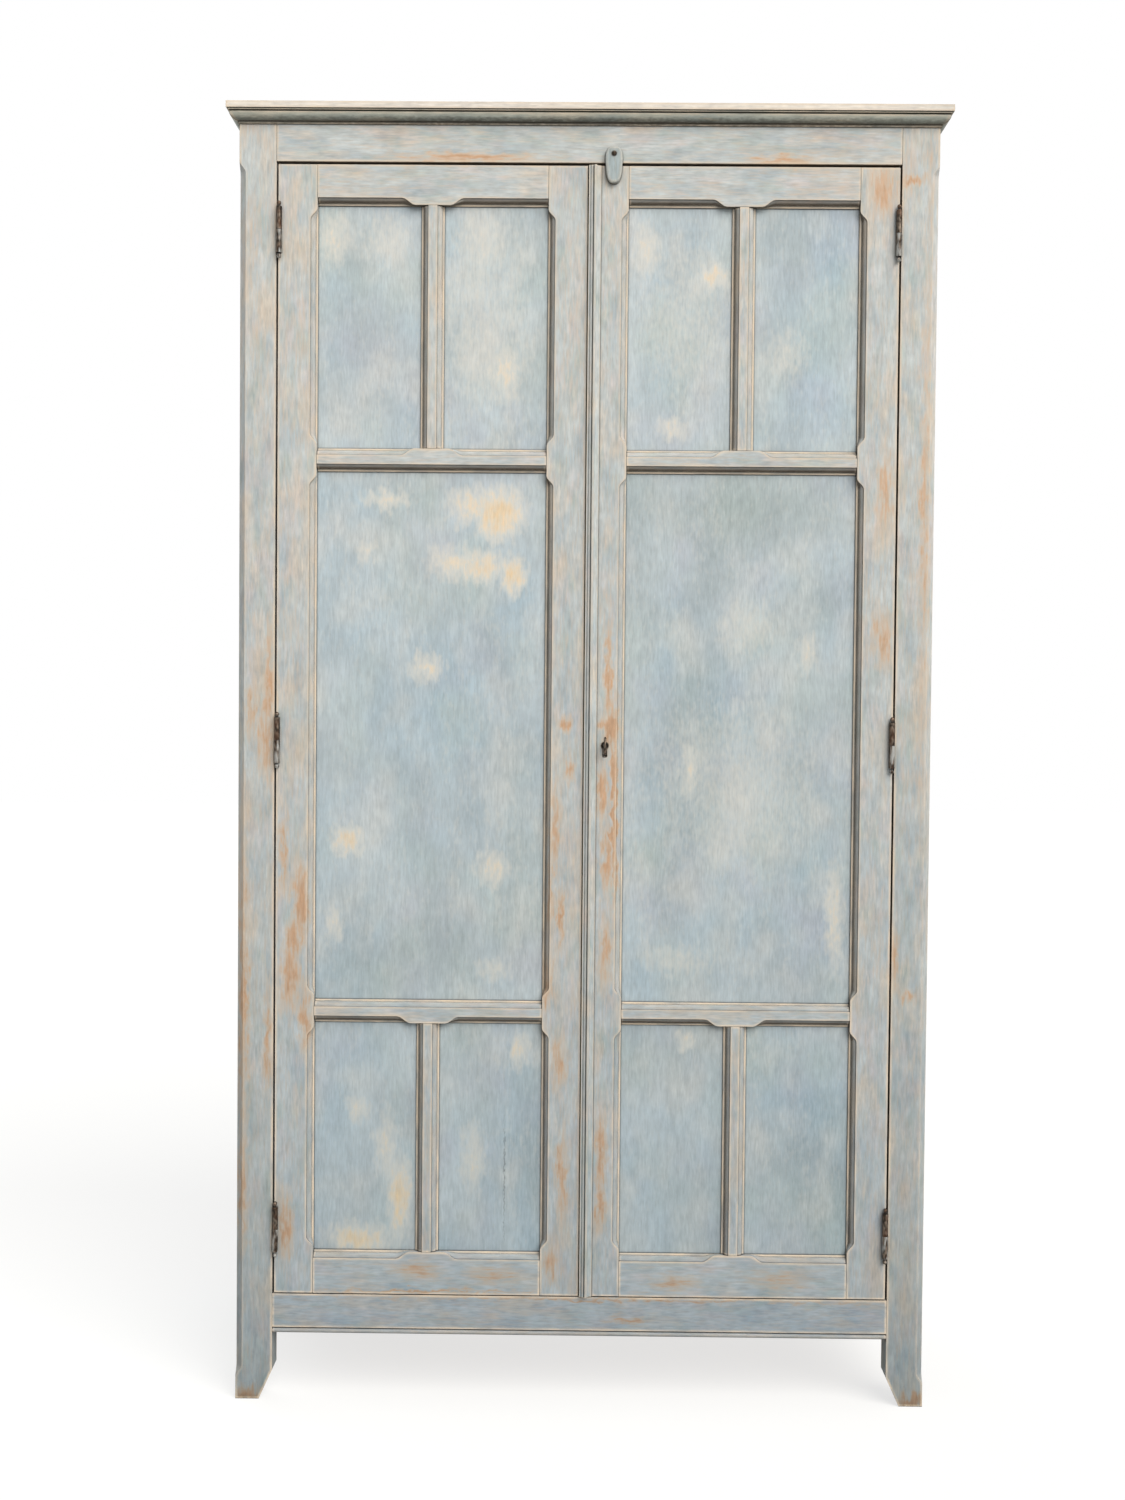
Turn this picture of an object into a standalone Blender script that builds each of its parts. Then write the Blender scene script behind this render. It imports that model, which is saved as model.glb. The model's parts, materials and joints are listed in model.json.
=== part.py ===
"""Tall painted cupboard: two framed and panelled doors on lift-off hinges in a post-built carcass.

Metres, +Z up, the front faces -Y. The origin lies on the floor under the middle of the whole object.
"""
import math

import bmesh
import bpy
from mathutils import Matrix, Vector

for leftover in list(bpy.data.objects):
    bpy.data.objects.remove(leftover, do_unlink=True)

# Overall sizes and the clearances between pieces
HEIGHT = 2.000
CARCASS_WIDTH = 1.070
CARCASS_DEPTH = 0.460
JOINT_GAP = 0.0003
DOOR_TOP_GAP = 0.0045
DOOR_BOTTOM_GAP = 0.0015
CENTRE_GAP = 0.0025

# Top board and cornice
TOP_BOARD_THICKNESS = 0.010
TOP_BOARD_OVERHANG = 0.018
CORNICE_HEIGHT = 0.020
CORNICE_PROJECTION = 0.016
CORNICE_FILLET = 0.002
CORNICE_QUIRK = 0.002
OVOLO_STEPS = 5

# Corner posts and their feet
POST_WIDTH = 0.057
POST_DEPTH = 0.045
REAR_POST_WIDTH = 0.045
POST_CHAMFER = 0.010
EASED_ARRIS = 0.0005
CHAMFER_STOP_LENGTH = 0.018
CHAMFER_ABOVE_FLOOR = 0.034
FOOT_TAPER_HEIGHT = 0.045
FOOT_TAPER_WIDTH = 0.0205

# Front rails
FRIEZE_FACE_HEIGHT = 0.056
LEG_HEIGHT = 0.104
BOTTOM_RAIL_HEIGHT = 0.062
RAIL_THICKNESS = 0.024
BEAD_HEIGHT = 0.008
BEAD_QUIRK_WIDTH = 0.0015
BEAD_QUIRK_DEPTH = 0.0025
BEAD_STEPS = 5
RAIL_TENON_LENGTH = 0.020
RAIL_TENON_THICKNESS = 0.008
RAIL_TENON_SHOULDER = 0.010
STOP_LIP_DEPTH = 0.015
STOP_LIP_COVER = 0.011

# Sides, back, floor and shelves
SIDE_THICKNESS = 0.015
SIDE_RECESS = 0.012
SIDE_GROOVE_DEPTH = 0.010
SIDE_BOARD_COUNT = 3
DADO_DEPTH = 0.005
DADO_SHOULDER = 0.005
BACK_THICKNESS = 0.010
BACK_REBATE = 0.012
BACK_BOARD_COUNT = 7
BOARD_JOINT_WIDTH = 0.004
BOARD_JOINT_DEPTH = 0.002
FLOOR_THICKNESS = 0.018
FLOOR_ABOVE_RAIL = 0.010
SHELF_THICKNESS = 0.020
SHELF_SETBACK = 0.005
LOWER_SHELF_TOP = 0.780
UPPER_SHELF_TOP = 1.380

# Door framing, its stopped moulding and its panels
DOOR_THICKNESS = 0.024
DOOR_STOP_GAP = 0.001
STILE_WIDTH = 0.060
TOP_RAIL_WIDTH = 0.0605
BOTTOM_RAIL_WIDTH = 0.0655
CROSS_RAIL_WIDTH = 0.035
MUNTIN_WIDTH = 0.035
UPPER_PANEL_HEIGHT = 0.371
LOWER_PANEL_HEIGHT = 0.358
MOULD_WIDTH = 0.0105
MOULD_DEPTH = 0.0083
MOULD_QUIRK = 0.0018
MOULD_FILLET = 0.0032
MOULD_FALL = 0.0006
MOULD_STEPS = 3
PANEL_RECESS = 0.011
PANEL_THICKNESS = 0.008
PANEL_GROOVE_DEPTH = 0.008
STOP_STEPS = 5
STILE_STOP_REVEAL = 0.006
STILE_STOP_LENGTH = 0.016
BOSS_WIDTH = 0.054
BOSS_STOP_LENGTH = 0.0205
TENON_ROOT = 0.005

# Closing strip on the right door
STRIP_WIDTH = 0.019
STRIP_HEIGHT = 0.009
STRIP_LAP = 0.0012
STRIP_FILLET = 0.003
STRIP_BEAD_RADIUS = 0.0022
STRIP_QUIRK = 0.001
STRIP_COVE_FOOT = 0.002

# Lift-off hinges
LEAF_THICKNESS = 0.001
LEAF_CLEARANCE = 0.0004
LEAF_HEIGHT = 0.070
LEAF_DEPTH = 0.021
KNUCKLE_RADIUS = 0.0045
KNUCKLE_PROUD = 0.005
KNUCKLE_PAST_GAP = 0.0012
KNUCKLE_SPLIT = 0.0005
PIN_RADIUS = 0.0025
PIN_CLEARANCE = 0.0004
PIN_LENGTH = 0.028
FINIAL_RADIUS = 0.0035
FINIAL_NECK = 0.0018
HINGE_SIDES = 12
HINGE_BELOW_DOOR_TOP = 0.1005
HINGE_ABOVE_DOOR_BOTTOM = 0.1005
MIDDLE_HINGE_BELOW_CENTRE = 0.0105

# Lock and key
KEY_SETBACK = 0.031
KEY_HEIGHT = 1.024
KEY_PROJECTION = 0.032
KEY_SHANK_RADIUS = 0.003
KEY_BOW_HEIGHT = 0.028
KEY_BOW_LENGTH = 0.022
KEY_BOW_THICKNESS = 0.004
KEY_BOW_STEPS = 20
KEY_BOW_SIDES = 8
KEY_BIT_LENGTH = 0.014
KEY_BIT_DEPTH = 0.007
KEY_BIT_THICKNESS = 0.0025
KEYHOLE_RADIUS = 0.0045
KEYHOLE_SLOT_WIDTH = 0.0042
KEYHOLE_SLOT_LENGTH = 0.0165
LOCK_SETBACK = 0.003
LOCK_WIDTH = 0.050
LOCK_DEPTH = 0.014
LOCK_BELOW_KEY = 0.022
LOCK_ABOVE_KEY = 0.040
LOCK_WALL = 0.0015
BOLT_ABOVE_KEY = 0.016
BOLT_HEIGHT = 0.014
BOLT_THICKNESS = 0.006
BOLT_LENGTH = 0.036

# Turn button over the right door
BUTTON_FROM_CENTRE = 0.038
BUTTON_ABOVE_OPENING = 0.012
BUTTON_WIDTH = 0.029
BUTTON_TAPER = 0.0035
BUTTON_ABOVE_PIVOT = 0.011
BUTTON_BELOW_PIVOT = 0.044
BUTTON_THICKNESS = 0.0085
BUTTON_ROUNDING = 0.003
BUTTON_ROUNDING_STEPS = 2
BUTTON_OUTLINE_POWER = 3.0
BUTTON_OUTLINE_POINTS = 28
BUTTON_CLEARANCE = 0.0005
SCREW_RADIUS = 0.0022
SCREW_HEAD_RADIUS = 0.0042
SCREW_HEAD_HEIGHT = 0.0022
SCREW_GRIP = 0.018

# Finishes: colour, roughness and metallic value of each kind of surface
FRAME_PAINT = ((0.47, 0.48, 0.45), 0.72, 0.0)
PANEL_PAINT = ((0.43, 0.49, 0.53), 0.68, 0.0)
CORNICE_PAINT = ((0.33, 0.34, 0.31), 0.72, 0.0)
BARE_PINE = ((0.55, 0.39, 0.22), 0.70, 0.0)
OLD_IRON = ((0.045, 0.034, 0.026), 0.55, 0.9)

# Places worked out from the sizes above
HALF_WIDTH = CARCASS_WIDTH / 2
FRONT = (KEY_PROJECTION - CARCASS_DEPTH) / 2
BACK = FRONT + CARCASS_DEPTH
TOP_UNDERSIDE = HEIGHT - TOP_BOARD_THICKNESS
CORNICE_BOTTOM = TOP_UNDERSIDE - CORNICE_HEIGHT
OPENING_TOP = CORNICE_BOTTOM - FRIEZE_FACE_HEIGHT
OPENING_BOTTOM = LEG_HEIGHT + BOTTOM_RAIL_HEIGHT
OPENING_HALF = HALF_WIDTH - POST_WIDTH
SIDE_INNER = HALF_WIDTH - SIDE_RECESS - SIDE_THICKNESS
HINGE_GAP = 2 * LEAF_THICKNESS + LEAF_CLEARANCE + 2 * JOINT_GAP
HINGE_AXIS_X = OPENING_HALF - HINGE_GAP / 2 + KNUCKLE_PAST_GAP - KNUCKLE_RADIUS
HINGE_AXIS_Y = FRONT - KNUCKLE_PROUD
DOOR_EDGE = OPENING_HALF - HINGE_GAP
DOOR_BOTTOM = OPENING_BOTTOM + DOOR_BOTTOM_GAP
DOOR_TOP = OPENING_TOP - DOOR_TOP_GAP
DOOR_BACK = FRONT + DOOR_THICKNESS
CLOSING_EDGE = CENTRE_GAP / 2
PANEL_LEFT = CLOSING_EDGE + STILE_WIDTH
PANEL_RIGHT = DOOR_EDGE - STILE_WIDTH
PANEL_MIDDLE = (PANEL_LEFT + PANEL_RIGHT) / 2
UPPER_PANEL_TOP = DOOR_TOP - TOP_RAIL_WIDTH
UPPER_PANEL_BOTTOM = UPPER_PANEL_TOP - UPPER_PANEL_HEIGHT
MIDDLE_PANEL_TOP = UPPER_PANEL_BOTTOM - CROSS_RAIL_WIDTH
LOWER_PANEL_BOTTOM = DOOR_BOTTOM + BOTTOM_RAIL_WIDTH
LOWER_PANEL_TOP = LOWER_PANEL_BOTTOM + LOWER_PANEL_HEIGHT
MIDDLE_PANEL_BOTTOM = LOWER_PANEL_TOP + CROSS_RAIL_WIDTH
GROOVE_FRONT = PANEL_RECESS - JOINT_GAP
GROOVE_BACK = PANEL_RECESS + PANEL_THICKNESS + JOINT_GAP
FLOOR_TOP = OPENING_BOTTOM + FLOOR_ABOVE_RAIL
KEY_X = CLOSING_EDGE + KEY_SETBACK
BUTTON_PIVOT = Vector((BUTTON_FROM_CENTRE, FRONT, OPENING_TOP + BUTTON_ABOVE_OPENING))


def finish(piece, surface):
    """Give a piece its own paint, wood or iron."""
    colour, roughness, metallic = surface
    material = bpy.data.materials.new(piece.name + "_finish")
    material.use_nodes = True
    shader = material.node_tree.nodes["Principled BSDF"]
    shader.inputs["Base Color"].default_value = (*colour, 1.0)
    shader.inputs["Roughness"].default_value = roughness
    shader.inputs["Metallic"].default_value = metallic
    piece.data.materials.append(material)


def add_piece(name, mesh, surface=None, pivot=None):
    """Make an object of a bmesh, with its faces out. A piece that moves hangs on its pivot."""
    bmesh.ops.recalc_face_normals(mesh, faces=mesh.faces)
    data = bpy.data.meshes.new(name)
    mesh.to_mesh(data)
    mesh.free()
    piece = bpy.data.objects.new(name, data)
    bpy.context.collection.objects.link(piece)
    if surface:
        finish(piece, surface)
    if pivot:
        piece.parent = pivot
        piece.matrix_parent_inverse = Matrix.Translation(-pivot.location)
    return piece


def add_pivot(name, place):
    """An empty on a joint's axis, which carries the pieces that move about it."""
    pivot = bpy.data.objects.new(name, None)
    pivot.location = place
    bpy.context.collection.objects.link(pivot)
    return pivot


def loft(mesh, loops, closed=False):
    """Skin a row of equal loops of points. Open rows get end caps; a closed row joins up with itself."""
    rings = [[mesh.verts.new(point) for point in loop] for loop in loops]
    count = len(rings[0])
    pairs = list(zip(rings, rings[1:]))
    if closed:
        pairs.append((rings[-1], rings[0]))
    for first, second in pairs:
        for i in range(count):
            j = (i + 1) % count
            mesh.faces.new((first[i], first[j], second[j], second[i]))
    if not closed:
        mesh.faces.new(rings[0])
        mesh.faces.new(rings[-1])


def lofted(loops, closed=False):
    mesh = bmesh.new()
    loft(mesh, loops, closed)
    return mesh


def box_loops(low, high):
    """Two rectangles, bottom and top, of the box between two corners."""
    corners = [(low[0], low[1]), (high[0], low[1]), (high[0], high[1]), (low[0], high[1])]
    return [[(x, y, z) for x, y in corners] for z in (low[2], high[2])]


def boxes(*spans):
    """Separate boxes in one mesh. Each span is a pair of opposite corners, in any order."""
    mesh = bmesh.new()
    for first, second in spans:
        low = [min(pair) for pair in zip(first, second)]
        high = [max(pair) for pair in zip(first, second)]
        loft(mesh, box_loops(low, high))
    return mesh


def prism(outline, bottom, top):
    """A plan outline extruded upwards."""
    return lofted([[(x, y, z) for x, y in outline] for z in (bottom, top)])


def turned(profile, centre, sides, along):
    """A profile of (radius, distance) turned about an axis; it starts and ends on that axis."""
    mesh = bmesh.new()
    axis = Vector(along)
    across = axis.orthogonal().normalized()
    other = axis.cross(across)
    start = mesh.verts.new(centre + axis * profile[0][1])
    rings = []
    for radius, distance in profile[1:-1]:
        ring = []
        for i in range(sides):
            angle = 2 * math.pi * i / sides
            direction = across * math.cos(angle) + other * math.sin(angle)
            ring.append(mesh.verts.new(centre + axis * distance + direction * radius))
        rings.append(ring)
    end = mesh.verts.new(centre + axis * profile[-1][1])
    for i in range(sides):
        j = (i + 1) % sides
        mesh.faces.new((start, rings[0][i], rings[0][j]))
        mesh.faces.new((end, rings[-1][j], rings[-1][i]))
        for first, second in zip(rings, rings[1:]):
            mesh.faces.new((first[i], second[i], second[j], first[j]))
    return mesh


def combine(piece, operation, mesh, label):
    """Cut a shape out of a piece, or join one to it, with a hidden tool object."""
    tool = add_piece(piece.name + "_" + label, mesh, pivot=piece.parent)
    tool.hide_render = True
    tool.display_type = "WIRE"
    modifier = piece.modifiers.new(label, "BOOLEAN")
    modifier.operation = operation
    modifier.solver = "EXACT"
    modifier.object = tool


def shade_round(piece):
    """Smooth a turned piece and keep its edges over forty degrees crisp."""
    piece.data.shade_smooth()
    piece.data.set_sharp_from_angle(angle=math.radians(40))


def ease(share):
    """A reversed curve from 0 to 1, the line of a stop cut with a gouge."""
    return share * share * (3 - 2 * share)


def stop_steps(start, length, rising):
    """Stations along one stop, where a moulding or chamfer runs in or out of the solid edge."""
    steps = []
    for i in range(STOP_STEPS + 1):
        share = i / STOP_STEPS
        strength = ease(share) if rising else 1 - ease(share)
        steps.append((start + length * share, strength))
    return steps


# Corner posts
def chamfer_cut(z):
    """How deep the front chamfer is at a height: it runs out in a stop at both ends."""
    from_bottom = (z - CHAMFER_ABOVE_FLOOR) / CHAMFER_STOP_LENGTH
    from_top = (OPENING_TOP - z) / CHAMFER_STOP_LENGTH
    share = min(max(min(from_bottom, from_top), 0.0), 1.0)
    return EASED_ARRIS + (POST_CHAMFER - EASED_ARRIS) * ease(share)


def post(name, side, front, depth, width, chamfered):
    """A post of the full height, with a tapered foot and, in front, a stopped chamfer outside."""
    heights = [0.0, FOOT_TAPER_HEIGHT, TOP_UNDERSIDE - JOINT_GAP]
    if chamfered:
        for i in range(STOP_STEPS + 1):
            along = CHAMFER_STOP_LENGTH * i / STOP_STEPS
            heights += [CHAMFER_ABOVE_FLOOR + along, OPENING_TOP - along]
    outer = side * HALF_WIDTH
    loops = []
    for z in sorted(heights):
        corner = chamfer_cut(z) if chamfered else EASED_ARRIS
        taper = FOOT_TAPER_WIDTH * max(0.0, 1 - z / FOOT_TAPER_HEIGHT)
        inner = side * (HALF_WIDTH - width + taper)
        loops.append([
            (inner, front, z),
            (outer - side * corner, front, z),
            (outer, front + corner, z),
            (outer, front + depth, z),
            (inner, front + depth, z),
        ])
    return add_piece(name, lofted(loops), FRAME_PAINT)


def side_groove(side, near, far):
    """The slot in a post that holds the edge of a side panel."""
    slack = JOINT_GAP
    return (
        (side * (SIDE_INNER - slack), near, LEG_HEIGHT - slack),
        (side * (SIDE_INNER + SIDE_THICKNESS + slack), far, HEIGHT),
    )


def rail_mortise(side, bottom, top):
    """The slot in a front post that holds a rail's tenon."""
    middle = FRONT + RAIL_THICKNESS / 2
    half = RAIL_TENON_THICKNESS / 2 + JOINT_GAP
    mouth = OPENING_HALF - TENON_ROOT
    end = OPENING_HALF + RAIL_TENON_LENGTH + JOINT_GAP
    shoulder = RAIL_TENON_SHOULDER - JOINT_GAP
    return (
        (side * mouth, middle - half, bottom + shoulder),
        (side * end, middle + half, top - shoulder),
    )


FRIEZE_TOP = TOP_UNDERSIDE - JOINT_GAP
for side, hand in ((-1, "left"), (1, "right")):
    front_post = post(f"front_post_{hand}", side, FRONT, POST_DEPTH, POST_WIDTH, True)
    behind = FRONT + POST_DEPTH
    combine(front_post, "DIFFERENCE", boxes(
        side_groove(side, behind - SIDE_GROOVE_DEPTH, behind + SIDE_GROOVE_DEPTH),
        rail_mortise(side, OPENING_TOP, FRIEZE_TOP),
        rail_mortise(side, LEG_HEIGHT, OPENING_BOTTOM),
    ), "housings")
    rear_front = BACK - POST_DEPTH
    rear_post = post(f"rear_post_{hand}", side, rear_front, POST_DEPTH, REAR_POST_WIDTH, False)
    rebate_x = HALF_WIDTH - REAR_POST_WIDTH
    rebate_y = BACK - BACK_THICKNESS - JOINT_GAP
    combine(rear_post, "DIFFERENCE", boxes(
        side_groove(side, rear_front - SIDE_GROOVE_DEPTH, rear_front + SIDE_GROOVE_DEPTH),
        (
            (side * (rebate_x - BACK_REBATE), rebate_y, LEG_HEIGHT - JOINT_GAP),
            (side * (rebate_x + BACK_REBATE), BACK + BACK_THICKNESS, HEIGHT),
        ),
    ), "housings")


# Front rails
def rail_between_posts(name, section, bottom, top):
    """A rail of one section from post to post, with a tenon at each end."""
    end = OPENING_HALF - JOINT_GAP
    rail = add_piece(name, lofted([[(x, y, z) for y, z in section] for x in (-end, end)]), FRAME_PAINT)
    middle = FRONT + RAIL_THICKNESS / 2
    half = RAIL_TENON_THICKNESS / 2
    tenons = []
    for side in (-1, 1):
        tenons.append((
            (side * (end - TENON_ROOT), middle - half, bottom + RAIL_TENON_SHOULDER),
            (side * (OPENING_HALF + RAIL_TENON_LENGTH), middle + half, top - RAIL_TENON_SHOULDER),
        ))
    combine(rail, "UNION", boxes(*tenons), "tenons")
    return rail


LIP_FRONT = DOOR_BACK + DOOR_STOP_GAP
frieze_section = [
    (FRONT, OPENING_TOP),
    (LIP_FRONT, OPENING_TOP),
    (LIP_FRONT, DOOR_TOP - STOP_LIP_COVER),
    (LIP_FRONT + STOP_LIP_DEPTH, DOOR_TOP - STOP_LIP_COVER),
    (LIP_FRONT + STOP_LIP_DEPTH, FRIEZE_TOP),
    (FRONT, FRIEZE_TOP),
]
frieze_rail = rail_between_posts("frieze_rail", frieze_section, OPENING_TOP, FRIEZE_TOP)
pilot_hole = turned([
    (0.0, -BUTTON_THICKNESS),
    (SCREW_RADIUS + JOINT_GAP, -BUTTON_THICKNESS),
    (SCREW_RADIUS + JOINT_GAP, SCREW_GRIP + JOINT_GAP),
    (0.0, SCREW_GRIP + JOINT_GAP),
], BUTTON_PIVOT, HINGE_SIDES, (0, 1, 0))
combine(frieze_rail, "DIFFERENCE", pilot_hole, "pilot_hole")

bead_radius = BEAD_HEIGHT / 2
bottom_rail_section = [
    (FRONT + RAIL_THICKNESS, LEG_HEIGHT),
    (FRONT + RAIL_THICKNESS, OPENING_BOTTOM),
    (FRONT, OPENING_BOTTOM),
    (FRONT, LEG_HEIGHT + BEAD_HEIGHT + BEAD_QUIRK_WIDTH),
    (FRONT + BEAD_QUIRK_DEPTH, LEG_HEIGHT + BEAD_HEIGHT + BEAD_QUIRK_WIDTH),
    (FRONT + BEAD_QUIRK_DEPTH, LEG_HEIGHT + BEAD_HEIGHT),
]
for i in range(BEAD_STEPS):
    angle = math.pi * (i + 0.5) / BEAD_STEPS
    bottom_rail_section.append((
        FRONT + bead_radius * (1 - math.sin(angle)),
        LEG_HEIGHT + bead_radius * (1 + math.cos(angle)),
    ))
rail_between_posts("bottom_rail", bottom_rail_section, LEG_HEIGHT, OPENING_BOTTOM)


# Boarded sides and back
def board_line(start, end, face, count, inward):
    """Points along a boarded face, with a small V at each joint between its boards."""
    points = [(start, face)]
    half = math.copysign(BOARD_JOINT_WIDTH / 2, end - start)
    for i in range(1, count):
        joint = start + (end - start) * i / count
        points += [(joint - half, face), (joint, face + inward), (joint + half, face)]
    points.append((end, face))
    return points


SIDE_FRONT = FRONT + POST_DEPTH - SIDE_GROOVE_DEPTH + JOINT_GAP
SIDE_BACK = BACK - POST_DEPTH + SIDE_GROOVE_DEPTH - JOINT_GAP
BOARD_TOP = TOP_UNDERSIDE - JOINT_GAP
HOUSED = (
    (FLOOR_TOP, FLOOR_THICKNESS),
    (LOWER_SHELF_TOP, SHELF_THICKNESS),
    (UPPER_SHELF_TOP, SHELF_THICKNESS),
)
for side, hand in ((-1, "left"), (1, "right")):
    outer = side * (SIDE_INNER + SIDE_THICKNESS)
    line = board_line(SIDE_FRONT, SIDE_BACK, outer, SIDE_BOARD_COUNT, -side * BOARD_JOINT_DEPTH)
    outline = [(x, y) for y, x in line]
    outline += [(side * SIDE_INNER, SIDE_BACK), (side * SIDE_INNER, SIDE_FRONT)]
    side_panel = add_piece(f"side_panel_{hand}", prism(outline, LEG_HEIGHT, BOARD_TOP), FRAME_PAINT)
    dadoes = []
    for top, thickness in HOUSED:
        dadoes.append((
            (side * (SIDE_INNER - DADO_DEPTH), SIDE_FRONT - DADO_DEPTH, top - thickness - JOINT_GAP),
            (side * (SIDE_INNER + DADO_DEPTH), SIDE_BACK + DADO_DEPTH, top - DADO_SHOULDER + JOINT_GAP),
        ))
    combine(side_panel, "DIFFERENCE", boxes(*dadoes), "dadoes")

BACK_HALF = HALF_WIDTH - REAR_POST_WIDTH + BACK_REBATE - JOINT_GAP
BACK_FACE = BACK - BACK_THICKNESS
back_outline = board_line(-BACK_HALF, BACK_HALF, BACK_FACE, BACK_BOARD_COUNT, BOARD_JOINT_DEPTH)
back_outline += board_line(BACK_HALF, -BACK_HALF, BACK, BACK_BOARD_COUNT, -BOARD_JOINT_DEPTH)
add_piece("back_panel", prism(back_outline, LEG_HEIGHT, BOARD_TOP), BARE_PINE)


# Floor and shelves
def housed_board(name, front, top, thickness):
    """A board notched round the posts that it meets, with a tongue at each end in a side panel's dado."""
    wide = SIDE_INNER + DADO_DEPTH - JOINT_GAP
    between_front = OPENING_HALF - JOINT_GAP
    between_rear = HALF_WIDTH - REAR_POST_WIDTH - JOINT_GAP
    front_notch = max(front, FRONT + POST_DEPTH + JOINT_GAP)
    rear_notch = BACK - POST_DEPTH - JOINT_GAP
    rear = BACK_FACE - JOINT_GAP
    half = []
    if front_notch > front:
        half += [(between_front, front), (between_front, front_notch)]
    half += [(wide, front_notch), (wide, rear_notch), (between_rear, rear_notch), (between_rear, rear)]
    outline = half + [(-x, y) for x, y in reversed(half)]
    board = add_piece(name, prism(outline, top - thickness, top), BARE_PINE)
    shoulders = []
    for side in (-1, 1):
        shoulders.append((
            (side * (SIDE_INNER - JOINT_GAP), front - DADO_SHOULDER, top - DADO_SHOULDER),
            (side * (wide + DADO_DEPTH), rear + DADO_SHOULDER, top + DADO_SHOULDER),
        ))
    combine(board, "DIFFERENCE", boxes(*shoulders), "shoulders")


housed_board("floor_board", DOOR_BACK + DOOR_STOP_GAP, FLOOR_TOP, FLOOR_THICKNESS)
shelf_front = FRONT + POST_DEPTH + SHELF_SETBACK
housed_board("shelf_lower", shelf_front, LOWER_SHELF_TOP, SHELF_THICKNESS)
housed_board("shelf_upper", shelf_front, UPPER_SHELF_TOP, SHELF_THICKNESS)

# Top board
add_piece("top_board", boxes((
    (-HALF_WIDTH - TOP_BOARD_OVERHANG, FRONT - TOP_BOARD_OVERHANG, TOP_UNDERSIDE),
    (HALF_WIDTH + TOP_BOARD_OVERHANG, BACK, HEIGHT),
)), CORNICE_PAINT)


# Cornice, mitred at the front corners
def cornice_profile():
    """Points of (out from the carcass, up): fillet, ovolo, quirk and upper fillet."""
    top = CORNICE_HEIGHT - JOINT_GAP
    ovolo_top = top - CORNICE_FILLET - CORNICE_QUIRK
    ovolo_out = CORNICE_PROJECTION - CORNICE_QUIRK
    points = [(JOINT_GAP, 0.0), (CORNICE_FILLET, 0.0), (CORNICE_FILLET, CORNICE_FILLET)]
    for i in range(OVOLO_STEPS + 1):
        angle = math.pi / 2 * (1 - i / OVOLO_STEPS)
        points.append((
            CORNICE_FILLET + (ovolo_out - CORNICE_FILLET) * math.cos(angle),
            ovolo_top - (ovolo_top - CORNICE_FILLET - CORNICE_QUIRK) * math.sin(angle),
        ))
    points += [
        (ovolo_out - CORNICE_QUIRK, ovolo_top),
        (ovolo_out - CORNICE_QUIRK, top - CORNICE_FILLET),
        (CORNICE_PROJECTION, top - CORNICE_FILLET),
        (CORNICE_PROJECTION, top),
        (JOINT_GAP, top),
    ]
    return points


CORNICE = [(out, CORNICE_BOTTOM + up) for out, up in cornice_profile()]
front_ends = []
for side, hand in ((-1, "left"), (1, "right")):
    front_ends.append([(side * (HALF_WIDTH + out - JOINT_GAP), FRONT - out, z) for out, z in CORNICE])
    mitre = [(side * (HALF_WIDTH + out), FRONT - out + JOINT_GAP, z) for out, z in CORNICE]
    square = [(side * (HALF_WIDTH + out), BACK, z) for out, z in CORNICE]
    add_piece(f"cornice_{hand}", lofted([mitre, square]), CORNICE_PAINT)
add_piece("cornice_front", lofted(front_ends), CORNICE_PAINT)


# Door framing
def edge_profile(strength):
    """Points of (in from the edge, depth) down a panel edge: moulding, lip and panel groove."""
    points = [(MOULD_WIDTH * strength, 0.0)]
    for i in range(MOULD_STEPS + 1):
        angle = math.pi / 2 * i / MOULD_STEPS
        points.append((
            (MOULD_WIDTH - (MOULD_WIDTH - MOULD_FILLET) * math.sin(angle)) * strength,
            MOULD_DEPTH - (MOULD_DEPTH - MOULD_QUIRK) * math.cos(angle),
        ))
    points += [
        (0.0, MOULD_DEPTH + MOULD_FALL),
        (0.0, GROOVE_FRONT),
        (PANEL_GROOVE_DEPTH, GROOVE_FRONT),
        (PANEL_GROOVE_DEPTH, GROOVE_BACK),
        (0.0, GROOVE_BACK),
        (0.0, DOOR_THICKNESS),
    ]
    return points


def bar_section(width, low, high):
    """A framing bar's section as (across, depth). A strength of None is a plain edge."""
    plain = [(0.0, 0.0), (0.0, DOOR_THICKNESS)]
    near = plain if low is None else edge_profile(low)
    far = plain if high is None else edge_profile(high)
    return near + [(width - inward, depth) for inward, depth in reversed(far)]


def framing_bar(name, width, stations, place, pivot):
    """Loft a bar through stations of (along, low strength, high strength)."""
    loops = []
    for along, low, high in stations:
        loops.append([place(across, depth, along) for across, depth in bar_section(width, low, high)])
    return add_piece(name, lofted(loops), FRAME_PAINT, pivot)


def boss_stations(start, end, middle):
    """A moulding that runs from end to end and stops at both sides of a muntin's boss."""
    half = BOSS_WIDTH / 2
    stations = [(start, 1.0)]
    stations += stop_steps(middle - half - BOSS_STOP_LENGTH, BOSS_STOP_LENGTH, False)
    stations += stop_steps(middle + half, BOSS_STOP_LENGTH, True)
    stations.append((end, 1.0))
    return stations


def stile_stations():
    """A moulding that stops below and above every rail."""
    spans = (
        (LOWER_PANEL_BOTTOM, LOWER_PANEL_TOP),
        (MIDDLE_PANEL_BOTTOM, MIDDLE_PANEL_TOP),
        (UPPER_PANEL_BOTTOM, UPPER_PANEL_TOP),
    )
    stations = [(DOOR_BOTTOM, 0.0)]
    for bottom, top in spans:
        stations += stop_steps(bottom + STILE_STOP_REVEAL, STILE_STOP_LENGTH, True)
        stations += stop_steps(top - STILE_STOP_REVEAL - STILE_STOP_LENGTH, STILE_STOP_LENGTH, False)
    stations.append((DOOR_TOP, 0.0))
    return stations


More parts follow.
